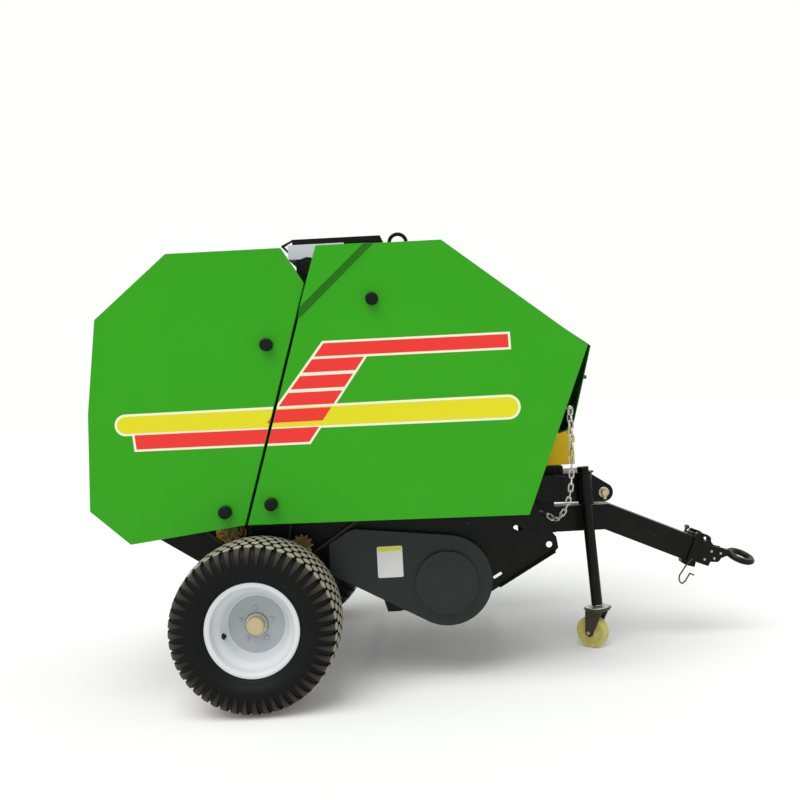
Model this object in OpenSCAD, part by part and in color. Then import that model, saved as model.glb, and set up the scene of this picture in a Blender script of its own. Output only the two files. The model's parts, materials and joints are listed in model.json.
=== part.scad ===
// Small towed round baler: a roller chamber with a lifting tailgate, carried on two wheels and a jack.
// Laid out in millimetres about the axle: +X runs forward to the tow ring, +Y to the left, +Z up.

/* [Bale chamber] */
// Diameter of the bale that the rollers close round
bale_d = 700; // [660:10:710]
// Clear width between the inner walls
chamber_w = 786; // [700:2:790]
// Chamber centre ahead of the axle
chamber_x = 96; // [86:1:106]
// Chamber centre above the ground
chamber_z = 859; // [850:1:880]

/* [Rollers] */
// Diameter over the ribs of a roller
roller_d = 110; // [90:2:114]
// Diameter of the roller shafts
shaft_d = 30; // [20:1:34]
// Ribs round each roller
rib_count = 8; // [4:1:10]
// Height of a rib above the drum
rib_h = 6; // [3:0.5:8]
// Width of a rib
rib_w = 12; // [6:1:16]
// Angle of the top front roller round the chamber
front_first = 71; // [69:0.5:73]
// Angle between neighbouring front rollers
front_step = 24.5; // [23:0.5:25]
// Angle of the floor roller behind the crop opening
floor_angle = -86; // [-90:1:-82]
// Angle of the top gate roller
gate_first = 103; // [102:0.5:104]
// Angle between neighbouring gate rollers
gate_step = 23; // [22:0.5:23]

/* [Drive chains] */
// Diameter over the teeth of a roller sprocket
sprocket_d = 72; // [60:1:74]
// Teeth on a roller sprocket
sprocket_teeth = 12; // [9:1:16]
// Thickness of a sprocket
sprocket_w = 8; // [5:1:9]
// Width of a drive chain
chain_w = 12; // [8:1:12]
// Height of a drive chain's side plates
chain_h = 8; // [6:1:9]

/* [Walls] */
// Thickness of the inner walls
wall_t = 6; // [4:1:6]
// Space between the front walls and the gate walls outside them
gate_gap = 6; // [5.5:0.5:7]
// Diameter of a bearing boss
boss_d = 60; // [50:1:64]
// Height of a bearing boss
boss_h = 10; // [6:1:10]
// Diameter of the gate's hinge pins
hinge_d = 30; // [20:1:36]

/* [Side panels] */
// Width over the side panels
panel_span = 1080; // [1000:2:1100]
// Thickness of the panel sheet
panel_t = 3; // [2:0.5:4]
// Depth of the folded edge round a panel
panel_fold = 30; // [15:1:40]
// Slot between the front and rear panels
split_gap = 9; // [6:1:12]
// Height of the panels' top edge above the roller ring
top_margin = 61; // [50:1:66]
// Reach of the rear panels behind the roller ring
rear_margin = 136; // [126:1:150]
// Height that the front panel's top rear corner stands proud
corner_rise = 12; // [6:1:20]
// Diameter of the panel knobs
knob_d = 39; // [30:1:44]
// Length of the panel knobs
knob_l = 27; // [18:1:34]
// Diameter of the posts that carry the panels
post_d = 16; // [12:1:18]

/* [Covers] */
// Thickness of the cover sheets
cover_t = 3; // [2:0.5:4]
// Width of the front covers
cover_w = 990; // [900:10:1000]
// Width of the hood on top
hood_w = 790; // [740:2:796]

/* [Wheels] */
// Diameter of the tyres
tyre_d = 508; // [500:2:516]
// Width of the tyres
tyre_w = 255; // [230:1:256]
// Diameter of the rim flanges
rim_d = 280; // [270:1:290]
// Width over the rim flanges
rim_w = 210; // [190:1:214]
// Distance between the wheels' centre planes
wheel_track = 1151; // [1144:1:1200]
// Side of the square axle beam
axle_size = 60; // [50:1:66]
// Diameter of the stub axles
stub_d = 40; // [30:1:44]
// Diameter of the hub caps
cap_d = 54; // [46:1:58]

/* [Hitch] */
// Front cross tube ahead of the axle
cross_x = 935; // [930:1:945]
// Front cross tube above the ground
cross_z = 575; // [570:1:585]
// Length of the front cross tube's section
cross_l = 80; // [70:1:90]
// Height of the front cross tube's section
cross_h = 50; // [44:1:56]
// Side of the square drawbar tube
drawbar_size = 90; // [80:1:94]
// Drawbar centre line above the ground
drawbar_z = 440; // [432:1:445]
// Place of the drawbar's bend
bend_x = 1161; // [1140:1:1180]
// Fall of the drawbar's front end
drop = 24; // [20:0.5:26]
// Length of the drawbar's sloping end
drop_run = 318; // [280:1:350]
// Outer diameter of the tow ring
ring_d = 104; // [94:1:110]
// Bore of the tow ring
ring_bore = 56; // [46:1:60]
// Thickness of the tow ring
ring_t = 20; // [16:1:26]
// Fall of the tow ring's plane
ring_tilt = 19; // [10:1:22]
// Roll of the tow ring about its neck
ring_roll = 15; // [0:1:20]

/* [Jack] */
// Jack ahead of the axle
jack_x = 1072; // [1068:1:1080]
// Lean of the jack from upright
jack_lean = 3; // [0:0.5:4]
// Diameter of the jack tube
jack_d = 38; // [30:1:40]
// Diameter of the caster wheel
caster_d = 108; // [96:1:112]
// Width of the caster wheel
caster_w = 36; // [28:1:38]
// Distance that the caster's axle trails its swivel
caster_trail = 28; // [22:1:32]
// Angle at which the caster stands
caster_yaw = -38; // [-45:1:45]

/* [Drive input] */
// Height of the drive input shaft
pto_z = 697; // [695:1:705]
// Diameter of the drive input shaft
pto_d = 35; // [28:0.5:38]
// Length of the drive input shaft that a coupling slides on
pto_l = 51; // [40:1:60]

/* [Pickup] */
// Pickup reel ahead of the axle
reel_x = 578; // [572:1:584]
// Pickup reel above the ground
reel_z = 322; // [318:1:328]
// Radius at the tine tips
tine_r = 160; // [150:1:164]
// Radius of the bands that strip the tines
band_r = 128; // [124:1:134]
// Radius of the bars that carry the tines
bar_r = 95; // [88:1:100]
// Tines along a bar
tine_count = 10; // [6:1:14]
// Diameter of a tine
tine_d = 7; // [5:0.5:9]
// Hole for a gauge wheel in each pickup plate
gauge_hole_d = 20; // [12:1:22]

/* [Hidden] */
$fn = 48;
run_gap = 0.05;
seat_gap = 0.3;
black = [0.05, 0.055, 0.05];
green = [0.2, 0.6, 0.12];
steel = [0.62, 0.62, 0.6];
slate = [0.17, 0.2, 0.2];

// Chamber and wall planes
ring_r = bale_d / 2 + roller_d / 2;
chamber = [chamber_x, chamber_z];
wall_in = chamber_w / 2;
wall_out = wall_in + wall_t;
gate_in = wall_out + gate_gap;
gate_out = gate_in + wall_t;
boss_out = gate_out + boss_h;
sprocket_y = boss_out + 2;
chain_y = sprocket_y + sprocket_w / 2 - chain_w / 2;
shaft_y = sprocket_y + sprocket_w + 1;
drum_y = wall_in - 6;
front_angles = [for (i = [0:4]) front_first - i * front_step, floor_angle];
gate_angles = [for (i = [0:6]) gate_first + i * gate_step];

// Body outline
body_top = chamber_z + ring_r + roller_d / 2 + top_margin;
body_rear = chamber_x - ring_r - roller_d / 2 - rear_margin;
split_low = chamber + [-118, -317];
split_top = [chamber_x + 133, body_top];
front_peak = [chamber_x + 514, body_top];
front_nose = [chamber_x + 944, body_top - 344];
front_toe = chamber + [740, -330];
notch_z = body_top - 111;
hinge = [split_top[0] - 43, body_top - 50];
front_panel_points = [split_top, split_low, front_toe, front_nose, front_peak];
rear_panel_points = [
    [split_top[0] - 109, body_top],
    [body_rear + 269, body_top],
    [body_rear + 43, body_top - 190],
    [body_rear + 9, chamber_z + 44],
    [body_rear, chamber_z - 251],
    [body_rear + 119, chamber_z - 358],
    [split_x(split_low[1]) - split_gap, split_low[1]],
    [split_x(notch_z) - split_gap, notch_z]
];
panel_face = panel_span / 2;
front_posts = [chamber + [295, 351], chamber + [-42, -256]];
rear_posts = [chamber + [-32, 228], chamber + [-183, -273]];

// Running gear
axle_z = tyre_d / 2;
axle_top = axle_z + axle_size / 2;
wheel_y = wheel_track / 2;
hub_seat_d = 70;
disc_r = 89;
disc_t = 4;
disc_y = 22;

// Front wall outline, with the edges that carry the covers
cover_rear = [front_peak[0] - 10, body_top - 9];
cover_nose = front_nose + [13, -2];
cover_chin = front_nose + [-55, -251];
cover_lip = front_nose + [-95, -264];
wall_top = body_top - 9;
rail_seat = wall_top - 10;
rail_rear = hinge[0] - 62;
rail_front = rail_rear + 180;
wall_low = chamber_z - ring_r - 82;
bracket_front = cross_x + cross_l / 2;
front_wall_points = [
    [split_x(wall_low) + 3, wall_low],
    [-40, axle_top],
    [140, axle_top],
    [chamber_x + 134, wall_low],
    [chamber_x + 324, wall_low + 68],
    [cross_x - 135, cross_z - 55],
    [cross_x - 85, cross_z + 25],
    [cross_x - 50, cross_z - cross_h / 2],
    [bracket_front, cross_z - cross_h / 2],
    [bracket_front, cross_z + 50],
    [cross_x - 45, cross_z + 57],
    cover_lip,
    cover_chin,
    cover_nose,
    cover_rear,
    [rail_front + 30, wall_top],
    [rail_front + 5, rail_seat],
    [hinge[0] - 38, rail_seat],
    [hinge[0] - 38, hinge[1] - 20],
    [split_x(hinge[1] - 40) + 3, hinge[1] - 40]
];
gate_low = chamber_z - ring_r - 100;
gate_wall_points = [
    [split_x(gate_low) - 3, gate_low],
    [split_x(hinge[1] - 40) - 3, hinge[1] - 40],
    [hinge[0] - 36, hinge[1] - 16],
    [chamber_x - 276, body_top - 50],
    [body_rear + 60, chamber_z + 261],
    [body_rear + 60, gate_low + 213],
    [chamber_x - 206, gate_low]
];

// Top rail and hood
rail_h = 47;
rail_top = rail_seat + rail_h;
hood_rise = 18;
hood_front = split_top[0] + 200;

// Hitch
cross_top = cross_z + cross_h / 2;
plate_t = 6;
lug_in = 91;
lug_t = 12;
lug_out = lug_in + lug_t;
lug_pin = [cross_x + 208, cross_z - 40];
lug_r = 33;
sleeve_d = jack_d + 16;
jack_y = lug_out + sleeve_d / 2 - 2;
sleeve_low = cross_z - 75;
axle_rise = abs(sin(jack_lean) * sin(caster_yaw));
caster_z = caster_d / 2 * sqrt(1 - axle_rise ^ 2) + caster_w / 2 * axle_rise;
caster_fall = cross_top - caster_z - caster_trail * cos(caster_yaw) * sin(jack_lean);
caster_h = cross_top - caster_fall / cos(jack_lean);
jack_low = caster_h + caster_d / 2 + 30;
swivel_d = 16;
race_d = 84;
crown_d = 96;
crown_t = 9;
drawbar_rear = cross_x - 85;
drawbar_end = [bend_x + drop_run * cos(drop), drawbar_z - drop_run * sin(drop)];
ring_center = drawbar_end + along_drop(191, 36);
ring_edge = 6;
ring_lean = cos(ring_roll) * sin(ring_tilt);
neck_half = 16;
ear = drawbar_end + along_drop(33, 52);
ring_tip = ring_center[0] + ring_d / 2 * sqrt(1 - ring_lean ^ 2) + (ring_t / 2 - ring_edge) * ring_lean;
mid_x = (ring_tip + body_rear) / 2;

// Drive input
gearbox_front = cross_x;
gearbox_top = cross_top + plate_t;
nose_l = 24;
journal_d = pto_d + 5;
neck_l = 3;

// Chain that holds the pickup up, from a stud on the right front panel's edge to the pickup plate.
// It hangs in an upright plane, with its route given along that plane and up from the stud.
stud_z = chamber_z - 12;
front_edge = front_nose - front_toe;
stud_x = front_toe[0] + (stud_z - front_toe[1]) * front_edge[0] / front_edge[1];
stud_y = panel_face - 18;
stud_d = 5;
hang_d = 6;
hang_x = 13;
hang_in = 12;
hang_out = 9;
link_l = 32;
link_w = 18;
link_wire = 5;
link_turns = 5;
link_inner = link_l - link_w + (link_w - link_wire) * cos(90 / link_turns) - link_wire * cos(30);
link_pitch = link_inner - seat_gap;
chain_turn = 132.5;
chain_links = 19;
spare_links = 6;
chain_top = hang_d / 2 + 0.1;
chain_route = [
    [0, chain_top], [0, -140], [2, -190], [7, -235], [15, -270], [27, -300],
    [43, -325], [60, -343], [78, -351], [94, -347], [106, -336], [113, -322]
];

// Pickup
reel = [reel_x, reel_z];
plate_in = wall_out;
plate_out = plate_in + wall_t;
guard_out = plate_out + 33;
guard_r = 142;
floor_end = chamber_x + 124;
pickup_plate_points = [
    reel + [289, 230],
    reel + [326, 148],
    reel + [353, 115],
    reel + [358, 80],
    reel + [347, 68],
    reel + [138, -49],
    reel + [40, -88],
    reel + [-127, -88],
    reel + [-154, -96],
    reel + [-194, -96],
    reel + [-210, -40],
    reel + [-240, 80],
    reel + [-240, 200]
];

// Place along the slanting split at a height
function split_x(z) =
    split_low[0] + (split_top[0] - split_low[0]) * (z - split_low[1]) / (split_top[1] - split_low[1]);

// Step along and across the drawbar's sloping end
function along_drop(s, n) = [s * cos(drop) + n * sin(drop), n * cos(drop) - s * sin(drop)];

// Point on the roller ring
function ring_point(angle, r) = chamber + r * [cos(angle), sin(angle)];

function unit(v) = v / norm(v);

// Normal to the left of the step from a to b
function left_normal(a, b) = [-(b[1] - a[1]), b[0] - a[0]] / norm(b - a);

// Corner b moved so that both its edges shift by d to their left
function mitre(a, b, c, d) =
    let (n1 = left_normal(a, b), n2 = left_normal(b, c))
    b + d * (n1 + n2) / (1 + n1 * n2);

// Convex outline, given anticlockwise, drawn in by d
function inset(pts, d) =
    let (n = len(pts))
    [for (i = [0:n - 1]) mitre(pts[(i + n - 1) % n], pts[i], pts[(i + 1) % n], d)];

// Moves the machine so that its box stands over the origin
module placed() {
    translate([-mid_x, 0, 0]) children();
}

// Mirrors a left-hand piece to the right
module on_right() {
    mirror([0, 1, 0]) children();
}

module both_sides() {
    children();
    on_right() children();
}

// Side outline drawn from y0 to y1
module plate(pts, y0, y1) {
    translate([0, y1, 0]) rotate([90, 0, 0]) linear_extrude(height = y1 - y0) polygon(pts);
}

// Round bar across the machine
module rod(p, d, y0, y1) {
    translate([p[0], y1, p[1]]) rotate([90, 0, 0]) cylinder(d = d, h = y1 - y0);
}

// Box between two corners
module block(lo, hi) {
    translate(lo) cube(hi - lo);
}

// Square tube across the machine, open at its ends
module cross_tube(x0, x1, z0, z1, half, t) {
    difference() {
        block([x0, -half, z0], [x1, half, z1]);
        block([x0 + t, -half - 1, z0 + t], [x1 - t, half + 1, z1 - t]);
    }
}

// Bar between two points in space
module strut(a, b, d) {
    v = b - a;
    translate(a)
        rotate([0, acos(v[2] / norm(v)), atan2(v[1], v[0])])
            cylinder(d = d, h = norm(v));
}

module front_wall() {
    difference() {
        union() {
            plate(front_wall_points, wall_in, wall_out);
            rod(hinge, hinge_d + 30, wall_in, wall_out);
            for (a = front_angles) rod(ring_point(a, ring_r), boss_d, wall_in, wall_out + boss_h);
            rod(hinge, hinge_d, wall_in, gate_out + 6);
            rod(hinge, hinge_d + 16, gate_out + seat_gap, gate_out + 6);
        }
        for (a = front_angles) rod(ring_point(a, ring_r), shaft_d + 2 * run_gap, wall_in - 1, boss_out);
    }
}

module side_wall_left() color(black) placed() front_wall();

module side_wall_right() color(black) placed() on_right() front_wall();

module gate_wall() {
    difference() {
        union() {
            plate(gate_wall_points, gate_in, gate_out);
            rod(hinge, 72, gate_in, gate_out);
            for (a = gate_angles) rod(ring_point(a, ring_r), boss_d, gate_in, boss_out);
        }
        rod(hinge, hinge_d + 2 * run_gap, gate_in - 1, gate_out + 1);
        for (a = gate_angles) rod(ring_point(a, ring_r), shaft_d + 2 * run_gap, gate_in - 1, boss_out + 1);
    }
}

module gate_wall_left() color(black) placed() gate_wall();

module gate_wall_right() color(black) placed() on_right() gate_wall();

module gate_tubes() color(black) placed() {
    for (i = [1, 3, 5]) {
        p = ring_point(gate_first + (i + 0.5) * gate_step, ring_r + roller_d / 2 + 35);
        cross_tube(p[0] - 25, p[0] + 25, p[1] - 25, p[1] + 25, gate_in, 4);
    }
}

module top_rail() color([0.7, 0.71, 0.7]) placed() {
    cap_t = 3;
    cross_tube(rail_rear, rail_front, rail_seat, rail_top, wall_out, 3);
    both_sides() block([rail_rear, wall_out - cap_t, rail_seat], [rail_front, wall_out, rail_top]);
}

module front_rail() color(black) placed()
    cross_tube(chamber_x + 560, chamber_x + 610, body_top - 190, body_top - 140, wall_in, 4);

module axle() color(black) placed() {
    cross_tube(-axle_size / 2, axle_size / 2, axle_z - axle_size / 2, axle_top, wheel_y - 105, 6);
    both_sides() rod([0, axle_z], stub_d, wheel_y - 125, wheel_y + 36);
    both_sides() block([-axle_size / 2, wheel_y - 125, axle_z - axle_size / 2],
        [axle_size / 2, wheel_y - 105, axle_top]);
}

module hitch_frame() color(black) placed() {
    cross_tube(cross_x - cross_l / 2, bracket_front, cross_z - cross_h / 2, cross_top, wall_in, 5);
    block([cross_x - cross_l / 2, -lug_out, cross_top], [cross_x + 170, lug_out, cross_top + plate_t]);
    lug = [
        [cross_x, cross_top],
        [cross_x, cross_z - 66],
        lug_pin + [0, -lug_r],
        lug_pin + [20, 26],
        [cross_x + 170, cross_top]
    ];
    both_sides() plate(lug, lug_in, lug_out);
    both_sides() rod(lug_pin, 2 * lug_r, lug_in, lug_out);
    rod(lug_pin, 22, -lug_out - 30, lug_out + 30);
    both_sides() rod(lug_pin, 36, lug_out, lug_out + 5);
    hanger = [
        [drawbar_rear, drawbar_z - drawbar_size / 2],
        [cross_x + 40, drawbar_z - drawbar_size / 2],
        [bracket_front, cross_z],
        [cross_x - cross_l / 2, cross_z]
    ];
    both_sides() plate(hanger, drawbar_size / 2, drawbar_size / 2 + 8);
    on_jack() difference() {
        translate([0, 0, sleeve_low]) cylinder(d = sleeve_d, h = gearbox_top - sleeve_low);
        translate([0, 0, sleeve_low - 1]) cylinder(d = jack_d + 2 * run_gap, h = 200);
    }
}

// Side outline of the drawbar with half its height, its rear end and the length of its slope
function drawbar_points(half, rear, run) =
    let (k = half * tan(drop / 2), bend = [bend_x, drawbar_z])
    [
        [rear, drawbar_z - half],
        [bend_x - k, drawbar_z - half],
        bend + along_drop(run, -half),
        bend + along_drop(run, half),
        [bend_x + k, drawbar_z + half],
        [rear, drawbar_z + half]
    ];

module drawbar() color(black) placed() {
    half = drawbar_size / 2;
    inner = half - 6;
    difference() {
        plate(drawbar_points(half, drawbar_rear, drop_run), -half, half);
        plate(drawbar_points(inner, drawbar_rear - 1, drop_run - 6), -inner, inner);
    }
}

// Outline given along and across the drawbar's sloping end
function at_drop(pts) = [for (p = pts) drawbar_end + along_drop(p[0], p[1])];

module hitch_head() color(black) placed() {
    half = drawbar_size / 2;
    cheek_t = 10;
    cheek = at_drop([
        [0, -37], [24, -37], [78, -35], [80, -21], [71, 41], [57, 50], [51, 64], [39, 68], [4, 67], [0, 57]
    ]);
    fork = at_drop([[6, -24], [84, -21], [114, -11], [119, -3], [124, 36], [117, 43], [80, 37], [6, 37]]);
    difference() {
        union() {
            plate(at_drop([[0, -half], [12, -half], [12, 57], [0, 57]]), -half - cheek_t, half + cheek_t);
            both_sides() plate(cheek, half, half + cheek_t);
            both_sides() plate(fork, neck_half + seat_gap, neck_half + 12);
            both_sides() rod(ear, 30, half - 6, half + cheek_t + 4);
        }
        rod(ear, 16, -half - 50, half + 50);
    }
    bracket = at_drop([[-9, -half], [-5, -59], [13, -62], [46, -58], [42, -30], [12, -30], [12, -half]]);
    plate(bracket, -20, 20);
}

module tow_ring() color([0.08, 0.085, 0.08]) placed() {
    bar_w = (ring_d - ring_bore) / 2;
    translate([ring_center[0], 0, ring_center[1]]) rotate([0, ring_tilt, 0]) rotate([ring_roll, 0, 0])
        rotate_extrude($fn = 96) translate([ring_bore / 2, -ring_t / 2]) polygon([
            [0, ring_edge],
            [ring_edge, 0],
            [bar_w - ring_edge, 0],
            [bar_w, ring_edge],
            [bar_w, ring_t - ring_edge],
            [bar_w - ring_edge, ring_t],
            [ring_edge, ring_t],
            [0, ring_t - ring_edge]
        ]);
    neck = at_drop([
        [30, -14], [112, -6], [138, 18], [152, 26], [150, 40], [138, 44], [112, 36], [30, 30]
    ]);
    plate(neck, -neck_half, neck_half);
}

// Wire with flat sides along a route of points, mitred at its corners. The route never runs along side.
module bent_wire(route, d, side = [0, 1, 0]) {
    sides = 8;
    r = d / 2 / cos(180 / sides);
    n = len(route);
    headings = [for (i = [1:n - 1]) unit(route[i] - route[i - 1])];
    points = [
        for (i = [0:n - 1], j = [0:sides - 1])
            let (
                before = headings[max(i - 1, 0)],
                normal = unit(before + headings[min(i, n - 2)]),
                u = unit(cross(side, before)),
                v = cross(before, u),
                a = 360 * (j + 0.5) / sides,
                w = r * (cos(a) * u + sin(a) * v)
            )
            route[i] + w - before * (w * normal) / (before * normal)
    ];
    faces = concat(
        [[for (j = [0:sides - 1]) j], [for (j = [0:sides - 1]) n * sides - 1 - j]],
        [
            for (i = [0:n - 2], j = [0:sides - 1])
                let (k = (j + 1) % sides)
                [i * sides + j, (i + 1) * sides + j, (i + 1) * sides + k, i * sides + k]
        ]
    );
    polyhedron(points, faces);
}

module hitch_pin() color(steel) placed() {
    half = drawbar_size / 2;
    level = half + 6;
    pin = at_drop([[0, level], [-26, level], [-26, half + 22]]);
    bent_wire([for (p = pin) [p[0], 0, p[1]]], 8);
    rod(pin[2], 15, -9, 9);
    clip_d = 5;
    clip_y = -half - 10 - clip_d / 2;
    clip = at_drop([
        [14, -30], [2, -63], [-6, -100], [-4, -113], [4, -123], [13, -125], [20, -112], [25, -82], [42, -82]
    ]);
    bent_wire([for (p = clip) [p[0], clip_y, p[1]]], clip_d);
}

module slope_cover() color(green) placed() {
    outer_nose = mitre(cover_rear, cover_nose, cover_chin, cover_t);
    n = left_normal(cover_rear, cover_nose);
    plate([cover_rear, cover_nose, outer_nose, cover_rear + cover_t * n], -cover_w / 2, cover_w / 2);
}

module nose_cover() color(green) placed() {
    outer_nose = mitre(cover_rear, cover_nose, cover_chin, cover_t);
    outer_chin = mitre(cover_nose, cover_chin, cover_lip, cover_t);
    n = left_normal(cover_chin, cover_lip);
    plate(
        [cover_nose, cover_chin, cover_lip, cover_lip + cover_t * n, outer_chin, outer_nose],
        -cover_w / 2, cover_w / 2
    );
    latch = (cover_nose + cover_chin) / 2 + [2, 30];
    both_sides() translate([latch[0], 380, latch[1]]) rotate([0, 90, 0]) cylinder(d = 12, h = 36);
}

module top_hood() color(black) placed() {
    half = hood_w / 2;
    top = rail_top + hood_rise;
    rear = rail_rear + 14;
    plate(
        [[rear, top - cover_t], [hood_front - 12, top - cover_t], [hood_front - 3, rail_top - 4],
            [hood_front, rail_top - 4], [hood_front - 10, top], [rear, top]],
        -half, half
    );
    skirt = [[rear, rail_top], [hood_front - 4, rail_top], [hood_front - 12, top], [rear, top]];
    both_sides() plate(skirt, half - cover_t, half);
    both_sides() plate(
        [[rear + 2, top], [rear - 34, rail_top], [rear - 34, rail_top - 5], [rear - 28, rail_top - 5],
            [rear + 2, rail_top + 12]],
        half - 8, half
    );
    rod([rear - 31, rail_top - 2], 8, -half, half);
}

module lifting_rings() color(black) placed() {
    leg = 28;
    bend_r = 27;
    both_sides() translate([split_top[0] + 246, (wall_in + wall_out) / 2, wall_top + leg]) {
        difference() {
            rotate([90, 0, 0]) rotate_extrude() translate([bend_r, 0]) circle(d = 12);
            translate([-50, -50, -52]) cube([100, 100, 50]);
        }
        for (side = [-1, 1]) translate([side * bend_r, 0, -leg]) cylinder(d = 14, h = leg);
    }
}

// Pressed sheet with a folded edge all round
module panel(pts) {
    difference() {
        plate(pts, panel_face - panel_fold, panel_face);
        plate(inset(pts, panel_t), panel_face - panel_fold - 1, panel_face - panel_t);
    }
}

module front_panel() {
    panel(front_panel_points);
    low = split_top + [split_x(body_top - 222) - split_top[0], -222];
    far = split_top + [176, 0];
    crest = panel_face + corner_rise;
    hull() {
        plate([split_top, low, far], panel_face - 1, panel_face);
        plate([split_top, low + [8, 38], far + [-30, 0]], crest - 1, crest);
    }
}

module front_panel_left() color(green) placed() front_panel();

module front_panel_right() color(green) placed() on_right() front_panel();

module rear_panel_left() color(green) placed() panel(rear_panel_points);

module rear_panel_right() color(green) placed() on_right() panel(rear_panel_points);

// Round grip with a chamfered edge
module knob(p) {
    rod(p, knob_d, panel_face, panel_face + knob_l - 4);
    translate([p[0], panel_face + knob_l - 4, p[1]]) rotate([-90, 0, 0])
        cylinder(d1 = knob_d, d2 = knob_d - 8, h = 4);
}

// Knobs with the posts behind the panel that carry it
module knobs(places, wall) {
    both_sides() for (p = places) {
        knob(p);
        rod(p, post_d, wall, panel_face - panel_t);
    }
}

module front_knobs() color(black) placed() knobs(front_posts, wall_out);

module rear_knobs() color(black) placed() knobs(rear_posts, gate_out);

module gearbox() color(black) placed() {
    difference() {
        union() {
            block([gearbox_front - 120, -75, gearbox_top + 24], [gearbox_front, 75, pto_z + 85]);
            block([gearbox_front - 40, -70, gearbox_top], [gearbox_front + 75, 70, gearbox_top + 24]);
            for (i = [0:4]) translate([gearbox_front - 30 + 22 * i, -76, gearbox_top]) cube([7, 152, 24]);
            translate([gearbox_front, 0, pto_z]) rotate([0, 90, 0]) cylinder(d = 80, h = nose_l);
        }
        translate([gearbox_front - 20, 0, pto_z]) rotate([0, 90, 0])
            cylinder(d = journal_d + 2 * run_gap, h = 60);
    }
}

module drive_tube() color(black) placed() rod([gearbox_front - 60, pto_z], 54, -wall_in, -75);

module pto_shaft() color(steel) placed() translate([gearbox_front, 0, pto_z]) rotate([0, 90, 0]) {
    translate([0, 0, -15]) cylinder(d = journal_d, h = 15 + nose_l + 2);
    cylinder(d = pto_d - 4, h = nose_l + 3 + neck_l);
    translate([0, 0, nose_l + 2 + neck_l]) cylinder(d = pto_d, h = pto_l);
}

module pto_guard() color([0.87, 0.72, 0.04]) placed() {
    front = gearbox_front + nose_l + neck_l + pto_l + 37;
    difference() {
        block([gearbox_front, -92, pto_z - 60], [front, 92, pto_z + 60]);
        block([gearbox_front - 1, -88, pto_z - 56], [front + 1, 88, pto_z + 56]);
    }
}

// Long hole across the machine
module long_hole(p, d, length, turn, y0, y1) {
    translate([p[0], 0, p[1]]) rotate([0, -turn, 0]) {
        block([-length / 2, y0, -d / 2], [length / 2, y1, d / 2]);
        for (end = [-1, 1]) rod([end * length / 2, 0], d, y0, y1);
    }
}

module pickup_plate() {
    cut_in = plate_in - 1;
    cut_out = plate_out + 1;
    difference() {
        plate(pickup_plate_points, plate_in, plate_out);
        rod(reel, shaft_d + 2 * run_gap, cut_in, cut_out);
        rod(reel + [329, 91], gauge_hole_d, cut_in, cut_out);
        rod(reel + [272, 146], 14, cut_in, cut_out);
        long_hole(reel + [234, 147], 14, 20, -25, cut_in, cut_out);
        long_hole(reel + [160, 1], 10, 22, 30, cut_in, cut_out);
    }
    fold = [reel + [347, 68], reel + [165, -34]];
    n = left_normal(fold[0], fold[1]);
    plate([fold[0], fold[1], fold[1] - 4 * n, fold[0] - 4 * n], plate_out, plate_out + 22);
}

module pickup_plate_left() color(black) placed() pickup_plate();

module pickup_plate_right() color(black) placed() on_right() pickup_plate();

// Middle of each gap between neighbouring tines
tine_pitch = 2 * (drum_y - 20) / tine_count;
function tine_y(i) = -drum_y + 20 + (i + 0.5) * tine_pitch;

// Side view of a band: half round the reel's front, with tails to the floor and the foot bar
module band_shape(t) {
    turn = -105;
    end = 300;
    difference() {
        circle(r = band_r + t, $fn = 96);
        circle(r = band_r, $fn = 96);
        polygon([[0, 0], [0, end], [-end, end], [-end, -end], end * [cos(turn), sin(turn)]]);
    }
    translate([-reel_x + floor_end, band_r]) square([reel_x - floor_end, t]);
    translate(band_r * [cos(turn), sin(turn)]) rotate(turn - 90) square([142, t]);
}

module pickup_bands() color(slate) placed() {
    band_w = 48;
    for (i = [0:tine_count])
        translate([reel_x, tine_y(i) - tine_pitch / 2 + band_w / 2, reel_z]) rotate([90, 0, 0])
            linear_extrude(height = band_w) band_shape(3);
    block([floor_end, -wall_in, reel_z + band_r - 30], [floor_end + 40, wall_in, reel_z + band_r + 1]);
    block([reel_x - 190, -plate_in, reel_z - 92], [reel_x - 160, plate_in, reel_z - 68]);
}

module chain_guard_shape(t) {
    outline = [
        reel + [-369, 39],
        reel + [-78, -119],
        reel + [22, 141],
        reel + [-283, 176],
        reel + [-307, 170],
        reel + [-367, 133]
    ];
    polygon(inset(outline, t));
    translate(reel) circle(r = guard_r - t, $fn = 96);
}

module chain_guard() color(slate) placed() on_right() {
    t = 3;
    bulge = 18;
    difference() {
        union() {
            translate([0, guard_out, 0]) rotate([90, 0, 0])
                linear_extrude(height = guard_out - plate_out) chain_guard_shape(0);
            rod(reel + [-2, -4], 196, guard_out - t, guard_out + bulge);
        }
        translate([0, guard_out - t, 0]) rotate([90, 0, 0])
            linear_extrude(height = guard_out) chain_guard_shape(t);
        rod(reel + [-2, -4], 196 - 2 * t, guard_out - 2 * t, guard_out + bulge - t);
    }
}

// Ring of wire with straight sides, laid along X
module link() {
    sides = 6;
    r = (link_w - link_wire) / 2;
    half = (link_l - link_w) / 2;
    path = [
        for (e = [0, 1], k = [0:link_turns])
            let (a = -90 + 180 * e + 180 * k / link_turns)
            [[(e == 0 ? half : -half) + r * cos(a), r * sin(a)], a]
    ];
    points = [
        for (p = path, j = [0:sides - 1])
            let (b = 360 * (j + 0.5) / sides, out = link_wire / 2 * cos(b))
            [p[0][0] + out * cos(p[1]), p[0][1] + out * sin(p[1]), link_wire / 2 * sin(b)]
    ];
    n = len(path);
    faces = [
        for (i = [0:n - 1], j = [0:sides - 1])
            let (i2 = (i + 1) % n, j2 = (j + 1) % sides)
            [i * sides + j, i * sides + j2, i2 * sides + j2, i2 * sides + j]
    ];
    polyhedron(points, faces);
}

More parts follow.
